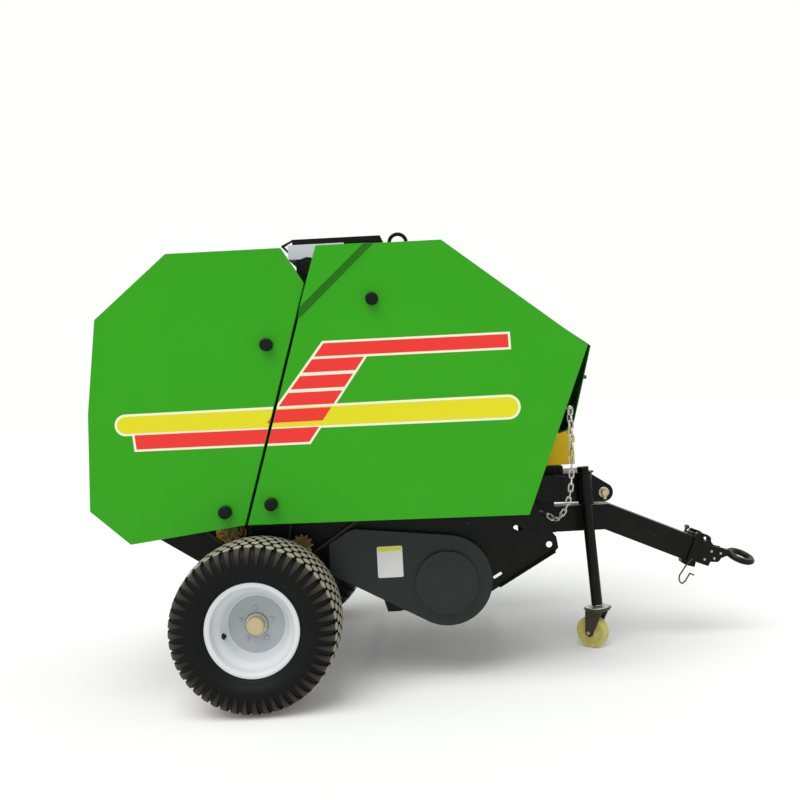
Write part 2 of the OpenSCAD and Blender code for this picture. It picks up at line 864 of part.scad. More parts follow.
// Point at a distance along a route of points
function along(route, s, i = 1) =
    let (a = route[i - 1], b = route[i], d = norm(b - a))
    s <= d || i == len(route) - 1 ? a + unit(b - a) * s : along(route, s - d, i + 1);

// Links in turn along a route, each hung in the one before and the first rolled about its length
module links(route, count, roll) {
    for (k = [0:count - 1]) {
        a = along(route, k * link_pitch);
        b = along(route, (k + 1) * link_pitch);
        mid = (a + b) / 2;
        translate([mid[0], 0, mid[1]]) rotate([0, -atan2(b[1] - a[1], b[0] - a[0]), 0])
            rotate([roll + (k % 2 == 0 ? 0 : 90), 0, 0]) link();
    }
}

module safety_chain() color(steel) placed() {
    reach = 5;
    translate([stud_x, -stud_y, stud_z]) {
        translate([1.2, 0, 0]) rotate([0, 90, 0]) cylinder(d = stud_d, h = hang_x);
        translate([hang_x, -hang_out - reach, 0]) rotate([-90, 0, 0])
            cylinder(d = hang_d, h = hang_out + hang_in + 2 * reach);
        translate([hang_x, -hang_out, 0]) links([[0, chain_top], [2, -200]], spare_links, 90);
        translate([hang_x, hang_in, 0]) rotate([0, 0, chain_turn])
            links(chain_route, chain_links, 90 - chain_turn);
    }
    last = along(chain_route, chain_links * link_pitch + link_wire);
    tail = last[0] * [cos(chain_turn), sin(chain_turn)];
    edge = pickup_plate_points[0] + 0.4 * (pickup_plate_points[1] - pickup_plate_points[0]);
    clear = stud_d / 2 + seat_gap;
    bent_wire([
        [stud_x + hang_x + tail[0], hang_in - stud_y + tail[1], stud_z + last[1]],
        [edge[0] + clear + 1, -plate_out - clear, edge[1] + 1],
        [edge[0] + clear + 1, -plate_in + clear, edge[1] + 1],
        [edge[0] - 6, -plate_in + clear, edge[1] - 3]
    ], stud_d, [1, 0, -1]);
}

// Drive chain drawn round a group of sprockets
module chain_loop(angles) {
    y1 = -chain_y;
    inner = sprocket_d / 2 + 0.9;
    translate([0, y1, 0]) rotate([90, 0, 0]) linear_extrude(height = chain_w) difference() {
        hull() for (a = angles) translate(ring_point(a, ring_r)) circle(r = inner + chain_h, $fn = 32);
        hull() for (a = angles) translate(ring_point(a, ring_r)) circle(r = inner, $fn = 32);
    }
}

module front_chain() color([0.45, 0.38, 0.24]) placed() chain_loop(front_angles);

module gate_chain() color([0.45, 0.38, 0.24]) placed() chain_loop(gate_angles);

// Half outline of a wheel section, mirrored and run back
function mirrored(pts) = [for (i = [len(pts) - 1:-1:0]) [pts[i][0], -pts[i][1]]];

// Wheel pieces, with the outer face towards +Y
module tyre() {
    r = tyre_d / 2;
    w = tyre_w / 2;
    seat = rim_d / 2 - 13;
    lip = rim_w / 2 - 4;
    outer = [
        [seat, lip - 15],
        [seat, lip],
        [rim_d / 2 + 3, lip],
        [rim_d / 2 + 25, w - 7],
        [rim_d / 2 + 55, w],
        [r - 29, w - 4],
        [r - 12, w - 16],
        [r - 3, w - 36],
        [r, w - 62]
    ];
    inner = [
        [r - 14, w - 62],
        [r - 20, w - 34],
        [r - 34, w - 17],
        [rim_d / 2 + 55, w - 13],
        [rim_d / 2 + 25, w - 20],
        [rim_d / 2 + 3, lip - 14]
    ];
    rotate([-90, 0, 0]) rotate_extrude($fn = 96)
        polygon(concat(outer, mirrored(outer), mirrored(inner), inner));
}

module rim() {
    f = rim_d / 2;
    e = rim_w / 2;
    section = [
        [f, e], [f, e - 4], [f - 13, e - 4], [f - 13, e - 30], [f - 32, e - 45],
        [f - 32, 45 - e], [f - 13, 30 - e], [f - 13, 4 - e], [f, 4 - e], [f, -e],
        [f - 17, -e], [f - 17, 32 - e], [f - 36, 47 - e],
        [f - 36, e - 47], [f - 17, e - 32], [f - 17, e]
    ];
    disc = [
        [hub_seat_d / 2, disc_y - disc_t], [hub_seat_d / 2, disc_y], [disc_r - 3, disc_y],
        [f - 39, e - 51], [f - 34, e - 51], [disc_r, disc_y - disc_t]
    ];
    rotate([-90, 0, 0]) rotate_extrude($fn = 96) polygon(section);
    rotate([-90, 0, 0]) rotate_extrude($fn = 96) polygon(disc);
}

module hub() {
    rotate([-90, 0, 0]) difference() {
        union() {
            translate([0, 0, -75]) cylinder(d = 84, h = 85);
            translate([0, 0, 8]) cylinder(d = 144, h = 10);
            translate([0, 0, 17]) cylinder(d = 68, h = 13);
            translate([0, 0, 29]) cylinder(d = cap_d, h = 20);
            translate([0, 0, 49]) cylinder(d1 = cap_d, d2 = cap_d - 6, h = 4);
        }
        translate([0, 0, -76]) cylinder(d = stub_d + 2 * run_gap, h = 116);
    }
}

// Puts a wheel piece on the left or right end of the axle
module at_wheel(side) {
    placed() mirror([0, side < 0 ? 1 : 0, 0]) translate([0, wheel_y, axle_z]) children();
}

module tyre_left() color([0.1, 0.11, 0.11]) at_wheel(1) tyre();

module tyre_right() color([0.1, 0.11, 0.11]) at_wheel(-1) tyre();

module rim_left() color([0.85, 0.87, 0.88]) at_wheel(1) rim();

module rim_right() color([0.85, 0.87, 0.88]) at_wheel(-1) rim();

module hub_left() color([0.68, 0.62, 0.45]) at_wheel(1) hub();

module hub_right() color([0.68, 0.62, 0.45]) at_wheel(-1) hub();

// Heights along the jack are taken on its own leaning axis, from the level of the cross tube
module on_jack() {
    translate([jack_x, -jack_y, cross_top]) rotate([0, -jack_lean, 0])
        translate([0, 0, -cross_top]) children();
}

module at_jack() {
    placed() on_jack() children();
}

module jack_tube() color(black) at_jack() {
    flange_t = 5;
    grip_h = 17;
    seat = gearbox_top + seat_gap + (sleeve_d / 2 + 9) * sin(jack_lean);
    translate([0, 0, jack_low]) cylinder(d = jack_d, h = seat + flange_t - jack_low);
    translate([0, 0, seat]) cylinder(d = sleeve_d + 18, h = flange_t);
    translate([0, 0, seat + flange_t]) cylinder(d = jack_d + 2, h = grip_h);
    translate([0, 0, jack_low]) cylinder(d = race_d, h = 5);
    translate([0, 0, jack_low + 5]) cylinder(d1 = race_d - 14, d2 = jack_d + 10, h = 5);
    translate([0, 0, jack_low - 16]) cylinder(d = swivel_d, h = 17);
}

module caster_fork() color(slate) at_jack() rotate([0, 0, caster_yaw]) {
    leg_in = caster_w / 2 + 5;
    leg_t = 4;
    foot_r = 15;
    top = jack_low - seat_gap;
    bolt = [-caster_trail, caster_h];
    leg_top = crown_d / 2 - 14;
    leg = [bolt + [-foot_r, 0], bolt + [foot_r, 0], [leg_top, top - 3], [-leg_top, top - 3]];
    difference() {
        union() {
            translate([0, 0, top - crown_t]) cylinder(d1 = crown_d - 12, d2 = crown_d, h = crown_t);
            both_sides() plate(leg, leg_in, leg_in + leg_t);
            both_sides() rod(bolt, 2 * foot_r, leg_in, leg_in + leg_t);
            rod(bolt, 12, -leg_in - 10, leg_in + 10);
        }
        translate([0, 0, top - 20]) cylinder(d = swivel_d + 2 * run_gap, h = 30);
    }
}

module caster_wheel() color([0.84, 0.8, 0.43]) at_jack() rotate([0, 0, caster_yaw])
    translate([-caster_trail, 0, caster_h]) rotate([90, 0, 0]) difference() {
        cylinder(d = caster_d, h = caster_w, center = true);
        cylinder(d = 12 + 2 * run_gap, h = caster_w + 2, center = true);
        for (side = [0, 1]) mirror([0, 0, side]) translate([0, 0, caster_w / 2 - 5])
            rotate_extrude() translate([17, 0]) square([caster_d / 2 - 31, 6]);
    }

module pickup_reel() color(steel) placed() {
    rod(reel, shaft_d, -plate_out - 20, plate_out + 5);
    rod(reel, 60, -drum_y, drum_y);
    for (q = [0:3]) translate([reel_x, 0, reel_z]) rotate([0, 90 * q + 20, 0]) {
        translate([bar_r, drum_y, 0]) rotate([90, 0, 0]) cylinder(d = 24, h = 2 * drum_y);
        for (y = [-drum_y + 15, 0, drum_y - 15]) block([20, y - 4, -10], [bar_r, y + 4, 10]);
        for (i = [0:tine_count - 1])
            translate([bar_r, tine_y(i), 0]) rotate([0, 90, 0])
                cylinder(d = tine_d, h = tine_r - bar_r, $fn = 16);
    }
}

// Toothed wheel drawn flat
module sprocket_shape() {
    tip = sprocket_d / 2;
    root = tip - 8;
    step = 360 / sprocket_teeth;
    polygon([
        for (i = [0:sprocket_teeth - 1], c = [[root, -0.36], [tip, -0.12], [tip, 0.12], [root, 0.36]])
            c[0] * [cos((i + c[1]) * step), sin((i + c[1]) * step)]
    ]);
}

module roller(angle) {
    p = ring_point(angle, ring_r);
    tube_d = roller_d - 2 * rib_h;
    translate([p[0], 0, p[1]]) rotate([90, 0, 0]) {
        difference() {
            translate([0, 0, -drum_y]) cylinder(d = tube_d, h = 2 * drum_y);
            translate([0, 0, 10 - drum_y]) cylinder(d = tube_d - 8, h = 2 * drum_y - 20);
            for (k = [0:2]) rotate(120 * k) translate([tube_d / 3, 0, -drum_y - 1])
                cylinder(d = 16, h = 2 * drum_y + 2);
        }
        for (k = [0:rib_count - 1]) rotate(360 * k / rib_count)
            block([tube_d / 2 - 2, -rib_w / 2, -drum_y], [roller_d / 2, rib_w / 2, drum_y]);
        translate([0, 0, -boss_out]) cylinder(d = shaft_d, h = boss_out + shaft_y);
        translate([0, 0, sprocket_y]) linear_extrude(height = sprocket_w) sprocket_shape();
    }
}

for (i = [1:len(front_angles)])
    color(steel) placed() roller(front_angles[i - 1]);
for (i = [1:len(gate_angles)])
    color(steel) placed() roller(gate_angles[i - 1]);
side_wall_right();
side_wall_left();
top_rail();
front_rail();
axle();
hitch_frame();
drawbar();
hitch_head();
tow_ring();
hitch_pin();
slope_cover();
nose_cover();
top_hood();
lifting_rings();
front_panel_right();
front_panel_left();
front_knobs();
gearbox();
drive_tube();
pto_guard();
pickup_plate_right();
pickup_plate_left();
pickup_bands();
chain_guard();
safety_chain();
front_chain();
gate_wall_right();
gate_wall_left();
gate_tubes();
rear_panel_right();
rear_panel_left();
rear_knobs();
gate_chain();
tyre_right();
rim_right();
hub_right();
tyre_left();
rim_left();
hub_left();
jack_tube();
caster_fork();
caster_wheel();
pickup_reel();
pto_shaft();
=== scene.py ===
"""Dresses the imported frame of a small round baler: paint, stripes, treaded tyres, chains and fittings."""

import json
import logging
import math
from dataclasses import dataclass
from enum import Enum
from typing import Any, Callable, Iterable, Sequence

import bmesh
import bpy
from bmesh.types import BMesh, BMFace, BMVert
from bpy.types import ID, Material, Mesh, Node, NodeSocket, NodeTree, Object
from mathutils import Matrix, Vector

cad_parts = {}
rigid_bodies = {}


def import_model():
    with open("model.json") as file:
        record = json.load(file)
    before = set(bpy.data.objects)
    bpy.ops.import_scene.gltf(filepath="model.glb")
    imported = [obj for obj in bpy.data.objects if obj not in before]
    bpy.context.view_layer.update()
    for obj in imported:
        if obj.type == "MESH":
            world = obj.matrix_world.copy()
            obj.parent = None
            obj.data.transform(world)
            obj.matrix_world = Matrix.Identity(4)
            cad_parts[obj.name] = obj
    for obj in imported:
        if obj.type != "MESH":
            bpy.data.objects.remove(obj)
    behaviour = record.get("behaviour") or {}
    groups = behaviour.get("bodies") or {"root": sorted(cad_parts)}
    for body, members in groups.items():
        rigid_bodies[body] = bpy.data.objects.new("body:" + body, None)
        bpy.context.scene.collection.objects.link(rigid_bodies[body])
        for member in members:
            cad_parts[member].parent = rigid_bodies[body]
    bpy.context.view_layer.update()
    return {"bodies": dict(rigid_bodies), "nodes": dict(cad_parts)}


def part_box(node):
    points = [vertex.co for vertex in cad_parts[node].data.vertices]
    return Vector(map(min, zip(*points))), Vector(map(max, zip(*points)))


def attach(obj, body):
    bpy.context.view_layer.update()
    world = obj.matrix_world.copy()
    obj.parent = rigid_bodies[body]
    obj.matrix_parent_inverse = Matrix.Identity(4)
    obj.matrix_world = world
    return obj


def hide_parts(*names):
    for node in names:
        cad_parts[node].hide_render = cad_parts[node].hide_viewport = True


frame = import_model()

log = logging.getLogger("baler")

MM = 0.001
RGB = tuple[int, int, int]
Point = tuple[float, float]

TYRE_LOW, TYRE_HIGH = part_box("tyre_right")
AXLE_X = (TYRE_LOW.x + TYRE_HIGH.x) / 2
PANEL_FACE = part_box("rear_panel_left")[1].y
BODY_OF = {
    node: body
    for body, empty in frame["bodies"].items()
    for node, piece in frame["nodes"].items()
    if piece.parent == empty
}


def place(x: float, y: float, z: float) -> Vector:
    """Place in the row frame, from millimetres ahead of the axle, left of the middle and above the ground."""
    return Vector((AXLE_X + x * MM, y * MM, z * MM))


def linear(color: RGB) -> tuple[float, float, float, float]:
    """Turn an 8-bit screen colour into linear light.

    Args:
        color: Red, green and blue from 0 to 255.

    Returns:
        The colour with a full alpha.
    """
    parts = []
    for value in color:
        share = value / 255
        parts.append(share / 12.92 if share <= 0.04045 else ((share + 0.055) / 1.055) ** 2.4)
    return (*parts, 1.0)


class Slot(Enum):
    """Material slots of the record."""

    PANEL = "panel_green"
    FRAME = "frame_black"
    GUARD = "guard_slate"
    RAIL = "rail_grey"
    RIM = "rim_white"
    HUB = "hub_brass"
    TYRE = "tyre"
    ZINC = "zinc"
    ROLLER = "roller_steel"
    CHAIN = "chain_steel"
    INPUT = "input_yellow"
    KNOB = "knob_black"
    CASTER = "caster_yellow"
    YELLOW = "stripe_yellow"
    RED = "stripe_red"
    CREAM = "stripe_cream"


class Side(Enum):
    """Sides of the machine, by the sign of Y."""

    RIGHT = -1
    LEFT = 1

    @property
    def word(self) -> str:
        """Name of the side as the CAD nodes write it."""
        return self.name.lower()


@dataclass
class Wiring:
    """Adds and joins nodes in one shader or geometry tree."""

    tree: NodeTree

    def feed(self, node: Node, inputs: dict[Any, Any]) -> None:
        """Set or join a node's inputs.

        Args:
            node: Node to feed.
            inputs: Values or sockets by input name or number.
        """
        for key, value in inputs.items():
            if isinstance(value, NodeSocket):
                self.tree.links.new(value, node.inputs[key])
            else:
                node.inputs[key].default_value = value

    def add(self, kind: str, inputs: dict[Any, Any] | None = None, **settings: Any) -> Node:
        """Add a node, set it up and feed its inputs.

        Args:
            kind: Type name of the node.
            inputs: Values or sockets by input name or number.
            settings: Properties of the node.

        Returns:
            The new node.
        """
        node = self.tree.nodes.new(kind)
        for name, value in settings.items():
            setattr(node, name, value)
        self.feed(node, inputs or {})
        return node

    def out(self, kind: str, inputs: dict[Any, Any] | None = None, **settings: Any) -> NodeSocket:
        """First output of a node that is added in the same way."""
        return self.add(kind, inputs, **settings).outputs[0]

    def math(self, operation: str, *values: Any) -> NodeSocket:
        """Result of a math node on numbers or sockets."""
        return self.out("ShaderNodeMath", dict(enumerate(values)), operation=operation)

    def blend(self, share: Any, first: Any, second: Any) -> NodeSocket:
        """Mix of two colours, by the share of the second."""
        return self.add("ShaderNodeMix", {0: share, 6: first, 7: second}, data_type="RGBA").outputs[2]

    def noise(self, scale: Any, detail: float, roughness: float = 0.5) -> NodeSocket:
        """Noise in the object's own space."""
        coords = self.add("ShaderNodeTexCoord").outputs["Object"]
        inputs = {"Vector": coords, "Scale": scale, "Detail": detail, "Roughness": roughness}
        return self.out("ShaderNodeTexNoise", inputs)

    def ramp(self, value: Any, start: Any, end: Any) -> NodeSocket:
        """Share from 0 to 1 of a value's way between two levels."""
        return self.out("ShaderNodeMapRange", {0: value, 1: start, 2: end, 3: 0.0, 4: 1.0})


class Group(Wiring):
    """A new node group with named sockets."""

    def __init__(self, name: str, kind: str, inputs: dict[str, str], outputs: dict[str, str]) -> None:
        """Start the group.

        Args:
            name: Name of the group.
            kind: Type of tree.
            inputs: Socket type of each input by name.
            outputs: Socket type of each output by name.
        """
        super().__init__(bpy.data.node_groups.new(name, kind))
        for way, sockets in (("INPUT", inputs), ("OUTPUT", outputs)):
            for label, socket in sockets.items():
                self.tree.interface.new_socket(label, in_out=way, socket_type=socket)
        self.source = self.add("NodeGroupInput").outputs
        self.sink = self.add("NodeGroupOutput")


FLOAT = "NodeSocketFloat"
COLOR = "NodeSocketColor"
SHADER_TREE = "ShaderNodeTree"


class Effects:
    """Shader groups that several finishes share."""

    dust_top = 0.9
    dust_scale = 9.0
    dust_patches = (0.4, 0.72)
    dust_roughness = 0.9
    chip_scale = 70.0
    chip_level = 0.74
    chip_edge = 0.03

    def __init__(self) -> None:
        """Build each group once."""
        self.grain = self._grain()
        self.dust = self._dust()
        self.chips = self._chips()

    @staticmethod
    def _grain() -> NodeTree:
        """Patches of a second shade, with uneven gloss and a fine relief.

        Returns:
            The group.
        """
        amounts = ("Patch Scale", "Patch Amount", "Grain Scale", "Roughness", "Spread")
        lay = Group(
            "Paint grain",
            SHADER_TREE,
            {"Color": COLOR, "Shade": COLOR, **dict.fromkeys(amounts, FLOAT)},
            {"Color": COLOR, "Roughness": FLOAT, "Height": FLOAT},
        )
        source = lay.source
        patch = lay.noise(source["Patch Scale"], 5.0, 0.6)
        share = lay.math("MULTIPLY", patch, source["Patch Amount"])
        uneven = lay.math("SUBTRACT", patch, 0.5)
        results = {
            "Color": lay.blend(share, source["Color"], source["Shade"]),
            "Roughness": lay.math("MULTIPLY_ADD", uneven, source["Spread"], source["Roughness"]),
            "Height": lay.noise(source["Grain Scale"], 2.0),
        }
        lay.feed(lay.sink, results)
        return lay.tree

    def _dust(self) -> NodeTree:
        """Road dust that thickens towards the ground.

        Returns:
            The group.
        """
        lay = Group(
            "Road dust",
            SHADER_TREE,
            {"Color": COLOR, "Dust": COLOR, "Roughness": FLOAT, "Amount": FLOAT},
            {"Color": COLOR, "Roughness": FLOAT},
        )
        source = lay.source
        coords = lay.add("ShaderNodeTexCoord").outputs["Object"]
        height = lay.add("ShaderNodeSeparateXYZ", {0: coords}).outputs["Z"]
        low = lay.ramp(height, self.dust_top, 0.0)
        patchy = lay.ramp(lay.noise(self.dust_scale, 6.0), *self.dust_patches)
        mask = lay.math("MULTIPLY", lay.math("MULTIPLY", low, patchy), source["Amount"])
        gap = lay.math("SUBTRACT", self.dust_roughness, source["Roughness"])
        results = {
            "Color": lay.blend(mask, source["Color"], source["Dust"]),
            "Roughness": lay.math("MULTIPLY_ADD", mask, gap, source["Roughness"]),
        }
        lay.feed(lay.sink, results)
        return lay.tree

    def _chips(self) -> NodeTree:
        """Small chips and scuffs that show what lies under the paint.

        Returns:
            The group.
        """
        inputs = {"Color": COLOR, "Bare": COLOR, "Amount": FLOAT}
        lay = Group("Chips", SHADER_TREE, inputs, {"Color": COLOR, "Mask": FLOAT})
        source = lay.source
        level = lay.math("SUBTRACT", self.chip_level, source["Amount"])
        top = lay.math("ADD", level, self.chip_edge)
        mask = lay.ramp(lay.noise(self.chip_scale, 7.0), level, top)
        lay.feed(lay.sink, {"Color": lay.blend(mask, source["Color"], source["Bare"]), "Mask": mask})
        return lay.tree


EFFECTS = Effects()
DUST_TAN: RGB = (168, 152, 122)
COAT_ROUGHNESS = 0.06
RELIEF_DEPTH = 0.001


@dataclass(frozen=True)
class Finish:
    """A finish of the machine, from its colour to its wear."""

    name: str
    slot: Slot
    color: RGB
    shade: RGB
    roughness: float
    metallic: float = 0.0
    specular: float = 0.25
    coat: float = 0.0
    patch_scale: float = 3.0
    patch_amount: float = 0.35
    grain_scale: float = 420.0
    spread: float = 0.12
    bump: float = 0.06
    dust: float = 0.0
    chips: float = 0.0
    bare: RGB = (120, 118, 112)
    worn: RGB | None = None

    def material(self) -> Material:
        """Give the finish's material, built on first use.

        Returns:
            The material.
        """
        known = bpy.data.materials.get(self.name)
        if known is not None:
            return known
        material = bpy.data.materials.new(self.name)
        material.use_nodes = True
        lay = Wiring(material.node_tree)
        base = linear(self.color)
        if self.worn is not None:
            mark = lay.add("ShaderNodeAttribute", attribute_name="worn").outputs["Fac"]
            base = lay.blend(mark, base, linear(self.worn))
        inputs = {
            "Color": base,
            "Shade": linear(self.shade),
            "Patch Scale": self.patch_scale,
            "Patch Amount": self.patch_amount,
            "Grain Scale": self.grain_scale,
            "Roughness": self.roughness,
            "Spread": self.spread,
        }
        grain = lay.add("ShaderNodeGroup", inputs, node_tree=EFFECTS.grain).outputs
        color, rough, metallic = grain["Color"], grain["Roughness"], self.metallic
        if self.chips:
            inputs = {"Color": color, "Bare": linear(self.bare), "Amount": self.chips}
            chips = lay.add("ShaderNodeGroup", inputs, node_tree=EFFECTS.chips).outputs
            color, metallic = chips["Color"], chips["Mask"]
        if self.dust:
            inputs = {"Color": color, "Dust": linear(DUST_TAN), "Roughness": rough, "Amount": self.dust}
            dust = lay.add("ShaderNodeGroup", inputs, node_tree=EFFECTS.dust).outputs
            color, rough = dust["Color"], dust["Roughness"]
        relief = {"Height": grain["Height"], "Strength": self.bump, "Distance": RELIEF_DEPTH}
        surface = {
            "Base Color": color,
            "Roughness": rough,
            "Metallic": metallic,
            "Specular IOR Level": self.specular,
            "Coat Weight": self.coat,
            "Coat Roughness": COAT_ROUGHNESS,
            "Normal": lay.out("ShaderNodeBump", relief),
        }
        lay.feed(material.node_tree.nodes["Principled BSDF"], surface)
        return material


GREEN = Finish(
    "green panel paint", Slot.PANEL, (54, 168, 20), (28, 138, 6), 0.26, specular=0.15, coat=0.06,
    patch_scale=1.3, patch_amount=0.5, dust=0.02,
)
# A darker copy of the panel green for the slope and nose covers: painted shade, since the covers carry the
# same green paint as the panels and look darker only from the shade they sit in.
SHADED_COVER_GREEN = Finish(
    "cover green paint", Slot.PANEL, (32, 118, 16), (24, 100, 10), 0.32, specular=0.15, coat=0.05,
    patch_scale=1.6,
)
# Darker green for the sloped band under each front panel's raised corner: painted shade standing in for the
# dark reflection and shade on that band; the sheet there has the same green paint as the rest of the panel.
CREASE_PAINTED_SHADE = Finish(
    "panel crease paint", Slot.PANEL, (42, 122, 26), (36, 110, 22), 0.3, specular=0.1, patch_scale=1.6
)
BLACK = Finish(
    "black frame enamel", Slot.FRAME, (11, 14, 12), (17, 20, 18), 0.32, specular=0.12, coat=0.02,
    patch_scale=6.0, dust=0.02, chips=0.01,
)
SLATE = Finish(
    "slate guard enamel", Slot.GUARD, (34, 42, 40), (25, 32, 30), 0.3, specular=0.24, patch_scale=3.0,
    bump=0.12,
)
RAIL = Finish(
    "pale grey rail paint", Slot.RAIL, (232, 236, 243), (206, 210, 220), 0.45, patch_scale=7.0, dust=0.04
)
RIM = Finish(
    "white wheel paint", Slot.RIM, (224, 228, 230), (206, 210, 214), 0.33, coat=0.15, patch_scale=7.0,
    dust=0.06,
)
DISC = Finish(
    "grey wheel disc paint", Slot.RIM, (176, 182, 187), (164, 170, 175), 0.4, patch_scale=8.0, dust=0.06
)
BRASS = Finish(
    "yellow passivated steel", Slot.HUB, (202, 188, 148), (176, 160, 116), 0.4, metallic=0.55,
    patch_scale=40.0,
    dust=0.1,
)
GOLD = Finish(
    "gold bearing paint", Slot.HUB, (246, 178, 30), (206, 142, 20), 0.42, patch_scale=14.0, chips=0.04
)
RUBBER = Finish(
    "tyre rubber", Slot.TYRE, (9, 11, 10), (15, 17, 16), 0.5, specular=0.14, patch_scale=12.0,
    patch_amount=0.12,
    grain_scale=900.0, bump=0.2, worn=(186, 179, 158),
)
ZINC = Finish(
    "zinc plate", Slot.ZINC, (192, 190, 182), (156, 154, 146), 0.32, metallic=0.9, patch_scale=60.0,
    spread=0.25,
)
DARK_STEEL = Finish(
    "dark wire steel", Slot.ZINC, (74, 72, 62), (54, 52, 44), 0.36, metallic=0.6, patch_scale=60.0,
    spread=0.25,
)
ROLLER = Finish(
    "roller enamel", Slot.ROLLER, (26, 27, 26), (46, 46, 44), 0.42, specular=0.2, patch_scale=9.0,
    chips=0.03,
    bare=(104, 101, 94),
)
SPROCKET = Finish(
    "oiled sprocket steel", Slot.ROLLER, (132, 110, 62), (92, 76, 40), 0.42, metallic=0.4, patch_scale=40.0,
    spread=0.2,
)
CHAIN = Finish(
    "oiled chain steel", Slot.CHAIN, (48, 43, 33), (30, 27, 20), 0.36, metallic=0.6, patch_scale=70.0,
    spread=0.3,
)
AMBER = Finish(
    "amber guard plastic", Slot.INPUT, (255, 212, 0), (250, 196, 0), 0.42, patch_scale=8.0, bump=0.1,
    dust=0.04,
)
KNOB = Finish(
    "black knob plastic", Slot.KNOB, (12, 16, 14), (18, 22, 20), 0.36, specular=0.14, patch_scale=30.0
)
CASTER = Finish(
    "pale yellow wheel plastic", Slot.CASTER, (214, 206, 118), (194, 182, 92), 0.45, patch_scale=20.0,
    dust=0.1,
)
OLIVE = Finish(
    "olive caster plate", Slot.GUARD, (66, 66, 54), (46, 47, 40), 0.38, metallic=0.35,
    patch_scale=24.0, dust=0.08,
)
PLATE = Finish("blank plate film", Slot.CREAM, (226, 228, 226), (212, 214, 210), 0.4, patch_scale=12.0)
STRIPE_YELLOW = Finish(
    "yellow stripe film", Slot.YELLOW, (228, 221, 30), (220, 210, 24), 0.3, patch_scale=2.0, bump=0.03
)
STRIPE_RED = Finish(
    "red stripe film", Slot.RED, (240, 56, 48), (230, 46, 40), 0.3, patch_scale=2.0, bump=0.03
)
STRIPE_CREAM = Finish(
    "cream stripe film", Slot.CREAM, (246, 246, 222), (238, 236, 206), 0.32, patch_scale=2.0, bump=0.03
)


def smooth(mesh: Mesh, angle: float = 35.0) -> Mesh:
    """Shade a mesh smooth, with its sharp edges kept.

    Args:
        mesh: Mesh to shade.
        angle: Edges that turn by more than this many degrees stay sharp.

    Returns:
        The same mesh.
    """
    mesh.shade_smooth()
    mesh.set_sharp_from_angle(angle=math.radians(angle))
    return mesh


def to_mesh(work: BMesh, name: str, outward: bool = True) -> Mesh:
    """Close a mesh under construction.

    Args:
        work: Mesh under construction, freed here.
        name: Name of the result.
        outward: Whether the faces are turned outwards first.

    Returns:
        The finished mesh.
    """
    if outward:
        bmesh.ops.recalc_face_normals(work, faces=work.faces)
    mesh = bpy.data.meshes.new(name)
    work.to_mesh(mesh)
    work.free()
    return mesh


def joined(name: str, meshes: Iterable[Mesh]) -> Mesh:
    """Put several meshes in one.

    Args:
        name: Name of the result.
        meshes: Meshes in the row frame.

    Returns:
        One mesh with all of them.
    """
    work = bmesh.new()
    for mesh in meshes:
        work.from_mesh(mesh)
    return to_mesh(work, name, outward=False)


def linked(name: str, data: ID) -> Object:
    """New object with the given data, put in the scene."""
    item = bpy.data.objects.new(name, data)
    bpy.context.scene.collection.objects.link(item)
    return item


def settled(holder: Object) -> Mesh:
    """Mesh that an object's modifiers give, after which the object is removed."""
    result = bpy.data.meshes.new_from_object(holder.evaluated_get(bpy.context.evaluated_depsgraph_get()))
    bpy.data.objects.remove(holder)
    return result


def add_piece(
    name: str, mesh: Mesh, finish: Finish, body: str, stands_for: Sequence[str] = ()
) -> None:
    """Show a finished mesh as a piece that rides on a body.

    Args:
        name: Plain name of the piece.
        mesh: Mesh in the row frame.
        finish: Finish of the whole piece.
        body: CAD body that it moves with.
        stands_for: CAD nodes that it replaces.
    """
    mesh.materials.clear()
    mesh.materials.append(finish.material())
    piece = linked(name, mesh)
    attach(piece, body)
    if stands_for:
        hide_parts(*stands_for)
    log.info("%s on %s, %d faces", name, body, len(mesh.polygons))


FLAT_ANGLE = 0.4
SHARP_ANGLE = 32.0


def rounded(node: str, edge: float) -> Mesh:
    """Copy a CAD node's mesh with its sharp edges rounded.

    Args:
        node: CAD node.
        edge: Width of the rounding in millimetres.

    Returns:
        The rounded mesh.
    """
    work = bmesh.new()
    work.from_mesh(frame["nodes"][node].data)
    bmesh.ops.remove_doubles(work, verts=work.verts, dist=1e-6)
    flat = math.radians(FLAT_ANGLE)
    bmesh.ops.dissolve_limit(work, angle_limit=flat, verts=work.verts, edges=work.edges)
    sharp = [
        line
        for line in work.edges
        if len(line.link_faces) == 2 and line.calc_face_angle(0.0) > math.radians(SHARP_ANGLE)
    ]
    bmesh.ops.bevel(
        work, geom=sharp, offset=edge * MM, offset_type="OFFSET", segments=2, profile=0.5,
        affect="EDGES", clamp_overlap=True, loop_slide=True,
    )
    return to_mesh(work, f"{node} rounded", outward=False)


def weighted(mesh: Mesh) -> Mesh:
    """Shade a mesh so that its large faces look flat and its roundings smooth.

    Args:
        mesh: Mesh to shade.

    Returns:
        A mesh with weighted normals.
    """
    holder = linked("weighting", smooth(mesh, 50.0))
    modifier = holder.modifiers.new("weights", "WEIGHTED_NORMAL")
    modifier.keep_sharp = True
    return settled(holder)


def dress(node: str, finish: Finish, edge: float = 1.2) -> None:
    """Replace a CAD node by its copy with edges rounded by so many millimetres."""
    add_piece(f"{node}.dressed", weighted(rounded(node, edge)), finish, BODY_OF[node], [node])


def parted(
    mesh: Mesh, chosen: Callable[[BMFace], bool]
) -> tuple[Mesh, Mesh]:
    """Part a mesh in two and shade both parts.

    Args:
        mesh: Mesh in the row frame.
        chosen: Tells whether a face goes to the second part.

    Returns:
        The rest and the chosen faces.
    """
    parts = []
    for wanted in (False, True):
        work = bmesh.new()
        work.from_mesh(mesh)
        others = [face for face in work.faces if chosen(face) != wanted]
        bmesh.ops.delete(work, geom=others, context="FACES")
        parts.append(weighted(to_mesh(work, mesh.name, outward=False)))
    return parts[0], parts[1]


